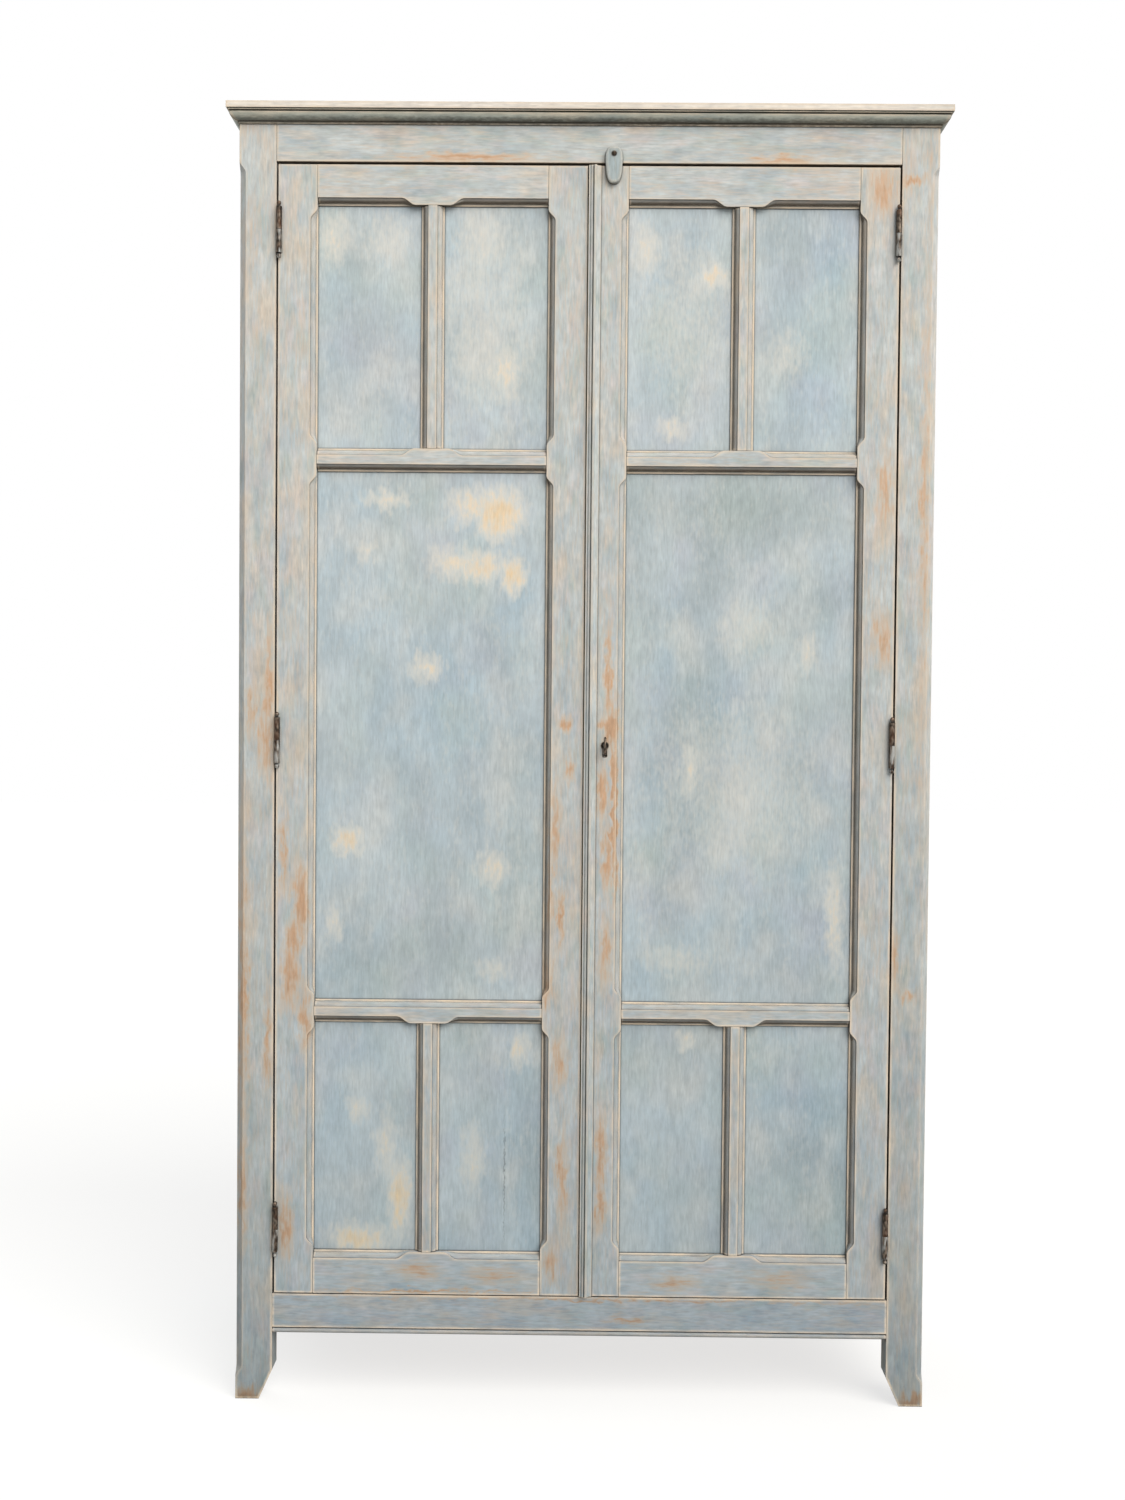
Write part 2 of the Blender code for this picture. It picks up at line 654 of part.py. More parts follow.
def tenon_spans(low_edge, high_edge, low_grooved, high_grooved, shoulders, reach, place):
    """Stub tenons that fill the panel groove of the bars at both ends of a rail or muntin."""
    clear = PANEL_GROOVE_DEPTH + JOINT_GAP
    low = low_edge + (clear if low_grooved else JOINT_GAP)
    high = high_edge - (clear if high_grooved else JOINT_GAP)
    front = PANEL_RECESS
    back = PANEL_RECESS + PANEL_THICKNESS
    spans = []
    for shoulder, outward in zip(shoulders, (-1, 1)):
        root = shoulder - outward * TENON_ROOT
        tip = shoulder + outward * reach
        spans.append((place(low, front, root), place(high, back, tip)))
    return spans


def door(side, hand):
    """All the wood of one door: two stiles, four rails, two muntins and five panels."""
    pivot = add_pivot(f"{hand}_door_pivot", (side * HINGE_AXIS_X, HINGE_AXIS_Y, DOOR_BOTTOM))
    reach = PANEL_GROOVE_DEPTH

    def upright(edge, direction):
        return lambda across, depth, along: (side * (edge + direction * across), FRONT + depth, along)

    def level(bottom):
        return lambda across, depth, along: (side * along, FRONT + depth, bottom + across)

    # Moulded edge first: across counts from the panel towards the outside of the door
    stile_runs = [(z, strength, None) for z, strength in stile_stations()]
    framing_bar(f"{hand}_door_hinge_stile", STILE_WIDTH, stile_runs, upright(PANEL_RIGHT, 1), pivot)
    framing_bar(f"{hand}_door_closing_stile", STILE_WIDTH, stile_runs, upright(PANEL_LEFT, -1), pivot)

    shoulders = (PANEL_LEFT + JOINT_GAP, PANEL_RIGHT - JOINT_GAP)
    bossed = boss_stations(*shoulders, PANEL_MIDDLE)
    rails = (
        ("top_rail", UPPER_PANEL_TOP, TOP_RAIL_WIDTH, [(x, s, None) for x, s in bossed]),
        ("upper_cross_rail", MIDDLE_PANEL_TOP, CROSS_RAIL_WIDTH, [(x, 1.0, s) for x, s in bossed]),
        ("lower_cross_rail", LOWER_PANEL_TOP, CROSS_RAIL_WIDTH, [(x, s, 1.0) for x, s in bossed]),
        ("bottom_rail", DOOR_BOTTOM, BOTTOM_RAIL_WIDTH, [(x, None, s) for x, s in bossed]),
    )
    for label, bottom, width, stations in rails:
        rail = framing_bar(f"{hand}_door_{label}", width, stations, level(bottom), pivot)
        grooved = [strength is not None for strength in stations[0][1:]]
        tool = boxes(*tenon_spans(0.0, width, *grooved, shoulders, reach - 2 * JOINT_GAP, level(bottom)))
        combine(rail, "UNION", tool, "tenons")

    muntins = (
        ("upper_muntin", UPPER_PANEL_BOTTOM, UPPER_PANEL_TOP),
        ("lower_muntin", LOWER_PANEL_BOTTOM, LOWER_PANEL_TOP),
    )
    for label, bottom, top in muntins:
        ends = (bottom + JOINT_GAP, top - JOINT_GAP)
        place = upright(PANEL_MIDDLE - MUNTIN_WIDTH / 2, 1)
        stations = [(z, 1.0, 1.0) for z in ends]
        muntin = framing_bar(f"{hand}_door_{label}", MUNTIN_WIDTH, stations, place, pivot)
        tool = boxes(*tenon_spans(0.0, MUNTIN_WIDTH, True, True, ends, reach - 2 * JOINT_GAP, place))
        combine(muntin, "UNION", tool, "tenons")

    inner = (PANEL_LEFT, PANEL_MIDDLE - MUNTIN_WIDTH / 2)
    outer = (PANEL_MIDDLE + MUNTIN_WIDTH / 2, PANEL_RIGHT)
    panels = (
        ("upper_inner_panel", inner, UPPER_PANEL_BOTTOM, UPPER_PANEL_TOP),
        ("upper_outer_panel", outer, UPPER_PANEL_BOTTOM, UPPER_PANEL_TOP),
        ("middle_panel", (PANEL_LEFT, PANEL_RIGHT), MIDDLE_PANEL_BOTTOM, MIDDLE_PANEL_TOP),
        ("lower_inner_panel", inner, LOWER_PANEL_BOTTOM, LOWER_PANEL_TOP),
        ("lower_outer_panel", outer, LOWER_PANEL_BOTTOM, LOWER_PANEL_TOP),
    )
    tongue = PANEL_GROOVE_DEPTH - JOINT_GAP
    for label, (near, far), bottom, top in panels:
        mesh = boxes((
            (side * (near - tongue), FRONT + PANEL_RECESS, bottom - tongue),
            (side * (far + tongue), FRONT + PANEL_RECESS + PANEL_THICKNESS, top + tongue),
        ))
        add_piece(f"{hand}_door_{label}", mesh, PANEL_PAINT, pivot)
    return pivot


left_pivot = door(-1, "left")
right_pivot = door(1, "right")


# Closing strip, planted on the right door's edge
def strip_section():
    """Points of (across, proud): low fillet, bead, quirk, sharp fillet and a hollow back to the door."""
    base = JOINT_GAP
    low = STRIP_HEIGHT - 2 * STRIP_BEAD_RADIUS
    bead_start = STRIP_FILLET
    bead_end = bead_start + 2 * STRIP_BEAD_RADIUS
    points = [(0.0, base), (0.0, low), (bead_start, low)]
    for i in range(1, BEAD_STEPS):
        angle = math.pi * i / BEAD_STEPS
        points.append((
            bead_start + STRIP_BEAD_RADIUS * (1 - math.cos(angle)),
            low + STRIP_BEAD_RADIUS * math.sin(angle),
        ))
    points += [
        (bead_end, low),
        (bead_end + STRIP_QUIRK, low),
        (bead_end + STRIP_QUIRK, STRIP_HEIGHT),
    ]
    cove_start = bead_end + STRIP_QUIRK + STRIP_FILLET
    for i in range(BEAD_STEPS + 1):
        angle = math.pi / 2 * i / BEAD_STEPS
        points.append((
            cove_start + (STRIP_WIDTH - cove_start) * (1 - math.cos(angle)),
            STRIP_HEIGHT - (STRIP_HEIGHT - STRIP_COVE_FOOT) * math.sin(angle),
        ))
    points.append((STRIP_WIDTH, base))
    return points


strip_edge = CLOSING_EDGE - STRIP_LAP
strip_loops = []
for z in (DOOR_BOTTOM, DOOR_TOP):
    strip_loops.append([(strip_edge + across, FRONT - proud, z) for across, proud in strip_section()])
add_piece("closing_strip", lofted(strip_loops), FRAME_PAINT, right_pivot)


# Lift-off hinges: the lower knuckle and pin stay on the post, the upper knuckle lifts off with the door
def ball_finial(base, upward):
    """A neck and a ball on the end of a knuckle, from the shoulder out to the axis."""
    points = [(FINIAL_NECK, base)]
    centre = base + upward * (FINIAL_NECK + FINIAL_RADIUS)
    for angle in (-45, 0, 45):
        turn = math.radians(angle)
        points.append((FINIAL_RADIUS * math.cos(turn), centre + upward * FINIAL_RADIUS * math.sin(turn)))
    points.append((0.0, centre + upward * FINIAL_RADIUS))
    return points


def hinge(side, hand, label, middle, pivot):
    axis = Vector((side * HINGE_AXIS_X, HINGE_AXIS_Y, middle))
    half = LEAF_HEIGHT / 2
    split = KNUCKLE_SPLIT / 2
    bore = (PIN_RADIUS + PIN_CLEARANCE) / math.cos(math.pi / HINGE_SIDES)
    bore_end = PIN_LENGTH + JOINT_GAP
    wall_middle = (bore + KNUCKLE_RADIUS) / 2
    leaf_front = HINGE_AXIS_Y + KNUCKLE_RADIUS + LEAF_CLEARANCE
    leaf_back = FRONT + LEAF_DEPTH

    def leaf(near, far, neck_bottom, neck_top):
        """A full-height leaf in the gap, with a neck that runs forward into its own knuckle."""
        beside = (near + far) / 2 - HINGE_AXIS_X
        wall = HINGE_AXIS_Y + math.sqrt(max(wall_middle ** 2 - beside ** 2, 0.0))
        plate = [
            (leaf_back, middle - half),
            (leaf_back, middle + half),
            (leaf_front, middle + half),
            (leaf_front, neck_top),
            (wall, neck_top),
            (wall, neck_bottom),
            (leaf_front, neck_bottom),
            (leaf_front, middle - half),
        ]
        kept = [point for i, point in enumerate(plate) if point != plate[i - 1]]
        return lofted([[(side * x, y, z) for y, z in kept] for x in (near, far)])

    lower = turned(ball_finial(-half, -1)[::-1] + [
        (KNUCKLE_RADIUS, -half),
        (KNUCKLE_RADIUS, -split),
        (PIN_RADIUS, -split),
        (PIN_RADIUS, PIN_LENGTH),
        (0.0, PIN_LENGTH),
    ], axis, HINGE_SIDES, (0, 0, 1))
    post_face = OPENING_HALF - JOINT_GAP
    frame_leaf = add_piece(f"hinge_{hand}_{label}_frame_leaf", lower, OLD_IRON)
    frame_plate = leaf(post_face - LEAF_THICKNESS, post_face, middle - half, middle - split)
    combine(frame_leaf, "UNION", frame_plate, "leaf")
    shade_round(frame_leaf)

    upper = turned([
        (0.0, bore_end),
        (bore, bore_end),
        (bore, split),
        (KNUCKLE_RADIUS, split),
        (KNUCKLE_RADIUS, half),
    ] + ball_finial(half, 1), axis, HINGE_SIDES, (0, 0, 1))
    door_face = DOOR_EDGE + JOINT_GAP
    door_leaf = add_piece(f"hinge_{hand}_{label}_door_leaf", upper, OLD_IRON, pivot)
    door_plate = leaf(door_face, door_face + LEAF_THICKNESS, middle + split, middle + half)
    combine(door_leaf, "UNION", door_plate, "leaf")
    shade_round(door_leaf)


door_centre = (DOOR_BOTTOM + DOOR_TOP) / 2
HINGES = (
    ("top", DOOR_TOP - HINGE_BELOW_DOOR_TOP),
    ("middle", door_centre - MIDDLE_HINGE_BELOW_CENTRE),
    ("bottom", DOOR_BOTTOM + HINGE_ABOVE_DOOR_BOTTOM),
)
for side, hand, pivot in ((-1, "left", left_pivot), (1, "right", right_pivot)):
    for label, middle in HINGES:
        hinge(side, hand, label, middle, pivot)

# Keyhole through the right door's closing stile
key_axis = Vector((KEY_X, FRONT, KEY_HEIGHT))
closing_stile = bpy.data.objects["right_door_closing_stile"]
keyhole = turned([
    (0.0, -DOOR_THICKNESS),
    (KEYHOLE_RADIUS, -DOOR_THICKNESS),
    (KEYHOLE_RADIUS, 2 * DOOR_THICKNESS),
    (0.0, 2 * DOOR_THICKNESS),
], key_axis, HINGE_SIDES, (0, 1, 0))
combine(closing_stile, "DIFFERENCE", keyhole, "keyhole")
slot = boxes((
    (KEY_X - KEYHOLE_SLOT_WIDTH / 2, FRONT - DOOR_THICKNESS, KEY_HEIGHT - KEYHOLE_SLOT_LENGTH),
    (KEY_X + KEYHOLE_SLOT_WIDTH / 2, DOOR_BACK + DOOR_THICKNESS, KEY_HEIGHT),
))
combine(closing_stile, "DIFFERENCE", slot, "keyhole_slot")

# Rim lock: a tray on the back of the stile, with its bolt in a slot towards the left door
lock_left = CLOSING_EDGE + LOCK_SETBACK
lock_front = DOOR_BACK + JOINT_GAP
lock_back = lock_front + LOCK_DEPTH
lock_bottom = KEY_HEIGHT - LOCK_BELOW_KEY
lock_top = KEY_HEIGHT + LOCK_ABOVE_KEY
lock_case = add_piece("lock_case", boxes((
    (lock_left, lock_front, lock_bottom),
    (lock_left + LOCK_WIDTH, lock_back, lock_top),
)), OLD_IRON, right_pivot)
hollow = boxes((
    (lock_left + LOCK_WALL, lock_front - LOCK_WALL, lock_bottom + LOCK_WALL),
    (lock_left + LOCK_WIDTH - LOCK_WALL, lock_back - LOCK_WALL, lock_top - LOCK_WALL),
))
combine(lock_case, "DIFFERENCE", hollow, "hollow")
bolt_bottom = KEY_HEIGHT + BOLT_ABOVE_KEY
bolt_back = lock_back - LOCK_WALL - JOINT_GAP
bolt_front = bolt_back - BOLT_THICKNESS
bolt_slot = boxes((
    (lock_left - LOCK_WALL, bolt_front - JOINT_GAP, bolt_bottom - JOINT_GAP),
    (lock_left + 2 * LOCK_WALL, bolt_back - JOINT_GAP, bolt_bottom + BOLT_HEIGHT + JOINT_GAP),
))
combine(lock_case, "DIFFERENCE", bolt_slot, "bolt_slot")
bolt_pivot = add_pivot("lock_bolt_pivot", (lock_left, bolt_front, bolt_bottom))
add_piece("lock_bolt", boxes((
    (lock_left, bolt_front, bolt_bottom),
    (lock_left + BOLT_LENGTH, bolt_back - 2 * JOINT_GAP, bolt_bottom + BOLT_HEIGHT),
)), OLD_IRON, bolt_pivot)

# Key: an oval bow seen edge-on from the front, a round shank and a plain bit in the lock
key_pivot = add_pivot("key_pivot", key_axis)
bow_centre = FRONT - KEY_PROJECTION + KEY_BOW_LENGTH / 2
bow_end = bow_centre + KEY_BOW_LENGTH / 2
key_tip = lock_back - LOCK_WALL - JOINT_GAP
key = add_piece("key", turned([
    (0.0, bow_end - KEY_BOW_THICKNESS / 2 - FRONT),
    (KEY_SHANK_RADIUS, bow_end - KEY_BOW_THICKNESS / 2 - FRONT),
    (KEY_SHANK_RADIUS, key_tip - FRONT),
    (0.0, key_tip - FRONT),
], key_axis, HINGE_SIDES, (0, 1, 0)), OLD_IRON, key_pivot)
bow_loops = []
for i in range(KEY_BOW_STEPS):
    turn = 2 * math.pi * i / KEY_BOW_STEPS
    loop = []
    for k in range(KEY_BOW_SIDES):
        angle = 2 * math.pi * k / KEY_BOW_SIDES
        inset = KEY_BOW_THICKNESS / 2 * (1 - math.cos(angle))
        loop.append((
            KEY_X + KEY_BOW_THICKNESS / 2 * math.sin(angle),
            bow_centre + (KEY_BOW_LENGTH / 2 - inset) * math.cos(turn),
            KEY_HEIGHT + (KEY_BOW_HEIGHT / 2 - inset) * math.sin(turn),
        ))
    bow_loops.append(loop)
combine(key, "UNION", lofted(bow_loops, closed=True), "bow")
bit_back = bolt_back - JOINT_GAP
bit = boxes((
    (KEY_X - KEY_BIT_THICKNESS / 2, bit_back - KEY_BIT_DEPTH, KEY_HEIGHT - KEY_BIT_LENGTH),
    (KEY_X + KEY_BIT_THICKNESS / 2, bit_back, KEY_HEIGHT),
))
combine(key, "UNION", bit, "bit")
shade_round(key)

# Turn button and the screw that it turns on
button_pivot = add_pivot("turn_button_pivot", BUTTON_PIVOT)
button_middle = BUTTON_PIVOT.z + (BUTTON_ABOVE_PIVOT - BUTTON_BELOW_PIVOT) / 2


def button_outline(inset, y):
    """A rounded oblong, narrower at its foot, drawn in all round by the inset."""
    half_width = BUTTON_WIDTH / 2 - inset
    half_height = (BUTTON_ABOVE_PIVOT + BUTTON_BELOW_PIVOT) / 2 - inset
    points = []
    for i in range(BUTTON_OUTLINE_POINTS):
        angle = 2 * math.pi * i / BUTTON_OUTLINE_POINTS
        across = math.copysign(abs(math.cos(angle)) ** (2 / BUTTON_OUTLINE_POWER), math.cos(angle))
        up = math.copysign(abs(math.sin(angle)) ** (2 / BUTTON_OUTLINE_POWER), math.sin(angle))
        half_here = half_width - BUTTON_TAPER * (1 - up) / 2
        points.append((BUTTON_PIVOT.x + half_here * across, y, button_middle + half_height * up))
    return points


button_back = FRONT - BUTTON_CLEARANCE
button_front = button_back - BUTTON_THICKNESS
button_loops = [button_outline(0.0, button_back)]
for i in range(BUTTON_ROUNDING_STEPS + 1):
    angle = math.pi / 2 * i / BUTTON_ROUNDING_STEPS
    inset = BUTTON_ROUNDING * (1 - math.cos(angle))
    button_loops.append(button_outline(inset, button_front + BUTTON_ROUNDING * (1 - math.sin(angle))))
turn_button = add_piece("turn_button", lofted(button_loops), FRAME_PAINT, button_pivot)
screw_hole = turned([
    (0.0, -2 * BUTTON_THICKNESS),
    (SCREW_RADIUS + JOINT_GAP, -2 * BUTTON_THICKNESS),
    (SCREW_RADIUS + JOINT_GAP, BUTTON_THICKNESS),
    (0.0, BUTTON_THICKNESS),
], BUTTON_PIVOT, HINGE_SIDES, (0, 1, 0))
combine(turn_button, "DIFFERENCE", screw_hole, "screw_hole")
head_seat = button_front - JOINT_GAP - FRONT
screw = add_piece("turn_button_screw", turned([
    (0.0, head_seat - SCREW_HEAD_HEIGHT),
    (SCREW_HEAD_RADIUS * math.sqrt(0.5), head_seat - SCREW_HEAD_HEIGHT * math.sqrt(0.5)),
    (SCREW_HEAD_RADIUS, head_seat),
    (SCREW_RADIUS, head_seat),
    (SCREW_RADIUS, SCREW_GRIP),
    (0.0, SCREW_GRIP),
], BUTTON_PIVOT, HINGE_SIDES, (0, 1, 0)), OLD_IRON)
shade_round(screw)
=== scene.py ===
"""Looks of a tall painted cupboard with two panelled doors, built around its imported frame."""
import json
import math

import bmesh
import bpy
from mathutils import Matrix, Vector

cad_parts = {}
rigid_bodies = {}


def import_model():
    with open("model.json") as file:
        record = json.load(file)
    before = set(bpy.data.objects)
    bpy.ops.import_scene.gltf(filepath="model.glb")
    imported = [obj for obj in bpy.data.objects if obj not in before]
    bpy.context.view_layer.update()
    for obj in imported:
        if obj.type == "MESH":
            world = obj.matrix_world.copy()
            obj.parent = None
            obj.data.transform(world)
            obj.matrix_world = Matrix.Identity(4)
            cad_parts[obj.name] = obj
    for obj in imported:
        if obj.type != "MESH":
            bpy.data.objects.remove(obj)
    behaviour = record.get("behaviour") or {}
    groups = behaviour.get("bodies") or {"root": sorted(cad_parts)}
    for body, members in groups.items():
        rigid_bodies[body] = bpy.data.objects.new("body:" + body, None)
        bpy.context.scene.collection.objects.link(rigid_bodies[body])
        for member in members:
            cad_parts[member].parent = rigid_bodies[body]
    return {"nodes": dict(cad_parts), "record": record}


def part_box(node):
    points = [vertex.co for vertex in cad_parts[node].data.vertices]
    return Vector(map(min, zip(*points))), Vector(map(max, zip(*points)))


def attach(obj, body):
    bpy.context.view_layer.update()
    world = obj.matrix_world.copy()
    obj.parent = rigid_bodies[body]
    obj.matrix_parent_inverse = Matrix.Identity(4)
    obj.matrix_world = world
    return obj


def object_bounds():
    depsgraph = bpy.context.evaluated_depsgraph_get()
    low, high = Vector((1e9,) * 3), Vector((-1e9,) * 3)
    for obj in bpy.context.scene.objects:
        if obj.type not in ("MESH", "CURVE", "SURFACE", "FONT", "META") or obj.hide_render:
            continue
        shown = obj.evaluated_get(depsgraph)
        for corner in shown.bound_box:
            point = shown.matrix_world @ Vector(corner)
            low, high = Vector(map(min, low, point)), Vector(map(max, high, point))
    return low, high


for leftover in list(bpy.data.objects):
    bpy.data.objects.remove(leftover)
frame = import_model()
cad_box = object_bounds()
cupboard = frame["nodes"]

# Posts: four planed pine uprights that carry everything, the front pair chamfered and tapered at the foot.
# They are painted with a grey chalk paint over a peach undercoat, brushed along the grain and rubbed back
# until undercoat and wood show along the arrises and in scattered streaks.
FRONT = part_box("front_post_left")[0].y
PLANED_ARRIS = 0.0006
WELD_DISTANCE = 0.00002
LARGEST_FLAT_ANGLE = math.radians(1.5)
LEAST_EASED_ANGLE = math.radians(40)
LARGEST_SMOOTH_ANGLE = math.radians(38)
GREY = "#CACFCE"
# A tint: its colour, the size of its clouds across and along the grain in mm, the noise level where it
# starts, and its share.
GREY_TINTS = (
    ("#A3B3BC", 22, 62, 0.69, 0.55),
    ("#ABB8B0", 20, 48, 0.71, 0.5),
    ("#D3C6C3", 24, 60, 0.72, 0.5),
    ("#DCCBB6", 26, 80, 0.71, 0.6),
)
PEACH_UNDERCOAT = "#DAC6B0"
BARE_PINE = "#D2A784"
FRAME_COATS = (GREY, GREY_TINTS, PEACH_UNDERCOAT, BARE_PINE)
ARRIS_CREAM = "#EAD7BE"
# Painted shade towards the floor: tints that the paint is multiplied by at floor level, fading out at a
# height.
LOW_SHADE_TINT = "#BAC5CC"
POST_LOW_SHADE = "#A8B2BA"
LOW_SHADE_HEIGHT = 1.6
# Painted shade: a dusty brown in sheltered places, most on sides that look down and to the left, and a glaze
# brown deep in the corners, also used for cracks.
DUST_AND_SHADE_BROWN = "#4B4136"
GLAZE_AND_SHADE_BROWN = "#332C24"
SHADED_SIDE = (-0.55, 0.0, -0.83)
CREVICE_REACH = 0.0026
SHELTER_REACH = 0.009
# Marks across and along the grain, in mm. Real bristles leave lines some 0.3 mm wide, too fine to show in the
# render, so the brush's marks are drawn nearly ten times as coarse.
BRISTLE_LINES = (2.6, 17)
BRUSH_SWEEPS = (8, 36)
SANDING_SCUFFS = (12, 15)
THIN_PLACES = (22, 90)
RUBBED_REGIONS = (200, 330)
PIECES_APART = 90.0
PAINT_RELIEF = 0.0006
CHALK_GLOSS = 0.3
# A worn spot fades to nothing at so many times its size, and reaches so many metres behind the front.
SPOT_FADE = 1.5
SPOT_REACH = 0.03
SPOT_GAIN = 1.6
# Noise with blots of so many times the raggedness moves a spot's outline, in metres by the raggedness in mm
# divided by the wander. That feathers the outline along the grain.
FEATHER_ALONG, FEATHER_ACROSS = 2.6, 1.3
WANDER_ALONG, WANDER_ACROSS = 180, 260
SMOKE_RAGGEDNESS = 30
DARK_LINE_RAGGEDNESS = 3
DARK_LINE_LIMIT = 0.7
# Between these depths behind the front lies the moulding on the doors' framing, which gets more painted
# shade.
MOULDING_EDGE = (0.0005, 0.0018)
MOULDING_FOOT = (0.0125, 0.0115)


def linear(hex_colour):
    """The linear RGBA of an sRGB hex colour."""
    channels = [int(hex_colour[i:i + 2], 16) / 255 for i in (1, 3, 5)]
    return [c / 12.92 if c <= 0.04045 else ((c + 0.055) / 1.055) ** 2.4 for c in channels] + [1.0]


def add_node(tree, kind, inputs=None, **settings):
    """Add a node with its settings. An input is a value, a socket, or a node, for its first output."""
    node = tree.nodes.new(kind)
    for name, value in settings.items():
        setattr(node, name, value)
    for name, value in (inputs or {}).items():
        if isinstance(value, bpy.types.Node):
            value = value.outputs[0]
        if isinstance(value, bpy.types.NodeSocket):
            tree.links.new(value, node.inputs[name])
        else:
            node.inputs[name].default_value = value
    return node


def mesh_group(name):
    """A modifier group that takes a mesh and gives one, and its input."""
    group = bpy.data.node_groups.new(name, "GeometryNodeTree")
    for way in ("INPUT", "OUTPUT"):
        group.interface.new_socket("Geometry", in_out=way, socket_type="NodeSocketGeometry")
    return group, add_node(group, "NodeGroupInput")


def smooth_shading():
    """A modifier group that shades a mesh smooth, apart from edges sharper than the largest smooth angle."""
    group, mesh = mesh_group("smooth_by_angle")
    plain = add_node(group, "GeometryNodeRemoveAttribute", {"Geometry": mesh, "Name": "custom_normal"})
    bend = add_node(group, "GeometryNodeInputMeshEdgeAngle")
    gentle = add_node(group, "FunctionNodeCompare", {"A": bend, "B": LARGEST_SMOOTH_ANGLE},
                      data_type="FLOAT", operation="LESS_EQUAL")
    faces = add_node(group, "GeometryNodeSetShadeSmooth", {"Geometry": plain}, domain="FACE")
    edges = add_node(group, "GeometryNodeSetShadeSmooth", {"Geometry": faces, "Shade Smooth": gentle},
                     domain="EDGE")
    add_node(group, "NodeGroupOutput", {"Geometry": edges})
    return group


def open_arrises():
    """A modifier group that marks the edges that stand out, and not the inner corners, for easing."""
    group, mesh = mesh_group("open_arrises")
    bend = add_node(group, "GeometryNodeInputMeshEdgeAngle").outputs["Signed Angle"]
    standing_out = add_node(group, "FunctionNodeCompare", {"A": bend, "B": LEAST_EASED_ANGLE},
                            data_type="FLOAT", operation="GREATER_THAN")
    marked = add_node(group, "GeometryNodeStoreNamedAttribute",
                      {"Geometry": mesh, "Name": "bevel_weight_edge", "Value": standing_out},
                      data_type="FLOAT", domain="EDGE")
    add_node(group, "NodeGroupOutput", {"Geometry": marked})
    return group


shading = smooth_shading()
arrises = open_arrises()


def ease_arrises(piece, rounding):
    """Take the sharpness off every arris, as sandpaper or a file does, and keep the flats flat."""
    weld = piece.modifiers.new("weld", "WELD")
    weld.merge_threshold = WELD_DISTANCE
    flats = piece.modifiers.new("flats", "DECIMATE")
    flats.decimate_type = "DISSOLVE"
    flats.angle_limit = LARGEST_FLAT_ANGLE
    piece.modifiers.new("open_arrises", "NODES").node_group = arrises
    arris = piece.modifiers.new("arris", "BEVEL")
    arris.width = rounding
    arris.segments = 2
    arris.limit_method = "WEIGHT"
    piece.modifiers.new("shading", "NODES").node_group = shading
    normals = piece.modifiers.new("normals", "WEIGHTED_NORMAL")
    normals.keep_sharp = True


def dress(names, material, rounding=PLANED_ARRIS):
    """Give the named pieces a finish and eased arrises."""
    for name in names:
        cupboard[name].material_slots[0].material = material
        ease_arrises(cupboard[name], rounding)


def new_material(name):
    """An empty material with its node tree and its shader."""
    material = bpy.data.materials.new(name)
    material.use_nodes = True
    return material, material.node_tree, material.node_tree.nodes["Principled BSDF"]


def drawn_out(tree, grain, across, along, detail=2.0, apart=0.0):
    """Noise whose blots are across and along the grain so many mm in size, and differ from piece to piece.
    A number or node given as apart sets the boards of one piece apart too."""
    place = add_node(tree, "ShaderNodeTexCoord").outputs["Object"]
    piece = add_node(tree, "ShaderNodeObjectInfo").outputs["Random"]
    per_metre = [1000 / (along if axis == grain else across) for axis in "XYZ"]
    stretched = add_node(tree, "ShaderNodeVectorMath", {0: place, 1: per_metre}, operation="MULTIPLY")
    own = add_node(tree, "ShaderNodeMath", {0: piece, 1: PIECES_APART, 2: apart}, operation="MULTIPLY_ADD")
    noise = add_node(tree, "ShaderNodeTexNoise",
                     {"Vector": stretched, "W": own, "Scale": 1.0, "Detail": detail}, noise_dimensions="4D")
    return noise.outputs["Fac"]


# Listed spots serve rubbed finish, smoke, real cracks and a painted shadow line.
def listed_spots(tree, grain, spots, raggedness):
    """How deep the finish is rubbed, or how dark a mark is, at given spots. A spot: x, z, half width and
    half height in mm, and depth. The outlines wander by about the raggedness, in mm, and are feathered along
    the grain."""
    place = add_node(tree, "ShaderNodeTexCoord").outputs["Object"]
    per_metre = [1000 / (raggedness * (FEATHER_ALONG if axis == grain else FEATHER_ACROSS)) for axis in "XYZ"]
    stretched = add_node(tree, "ShaderNodeVectorMath", {0: place, 1: per_metre}, operation="MULTIPLY")
    wander = add_node(tree, "ShaderNodeTexNoise", {"Vector": stretched, "Scale": 1.0, "Detail": 4.0})
    centred = add_node(tree, "ShaderNodeVectorMath", {0: wander.outputs["Color"], 1: (0.5, 0.5, 0.5)},
                       operation="SUBTRACT")
    reach = [raggedness / (WANDER_ALONG if axis == grain else WANDER_ACROSS) for axis in "XYZ"]
    reach[1] = 0.0
    shifted = add_node(tree, "ShaderNodeVectorMath", {0: centred, 1: reach, 2: place},
                       operation="MULTIPLY_ADD")
    deepest = None
    for x, z, half_width, half_height, depth in spots:
        spot = add_node(tree, "ShaderNodeMapping", {
            "Vector": shifted,
            "Location": (x / 1000, FRONT, z / 1000),
            "Scale": (SPOT_FADE * half_width / 1000, SPOT_REACH, SPOT_FADE * half_height / 1000)},
            vector_type="TEXTURE")
        fade = add_node(tree, "ShaderNodeTexGradient", {"Vector": spot}, gradient_type="SPHERICAL")
        rubbed = add_node(tree, "ShaderNodeMath", {0: fade.outputs["Fac"], 1: depth}, operation="MULTIPLY")
        if deepest is None:
            deepest = rubbed
        else:
            deepest = add_node(tree, "ShaderNodeMath", {0: deepest, 1: rubbed}, operation="MAXIMUM")
    return deepest


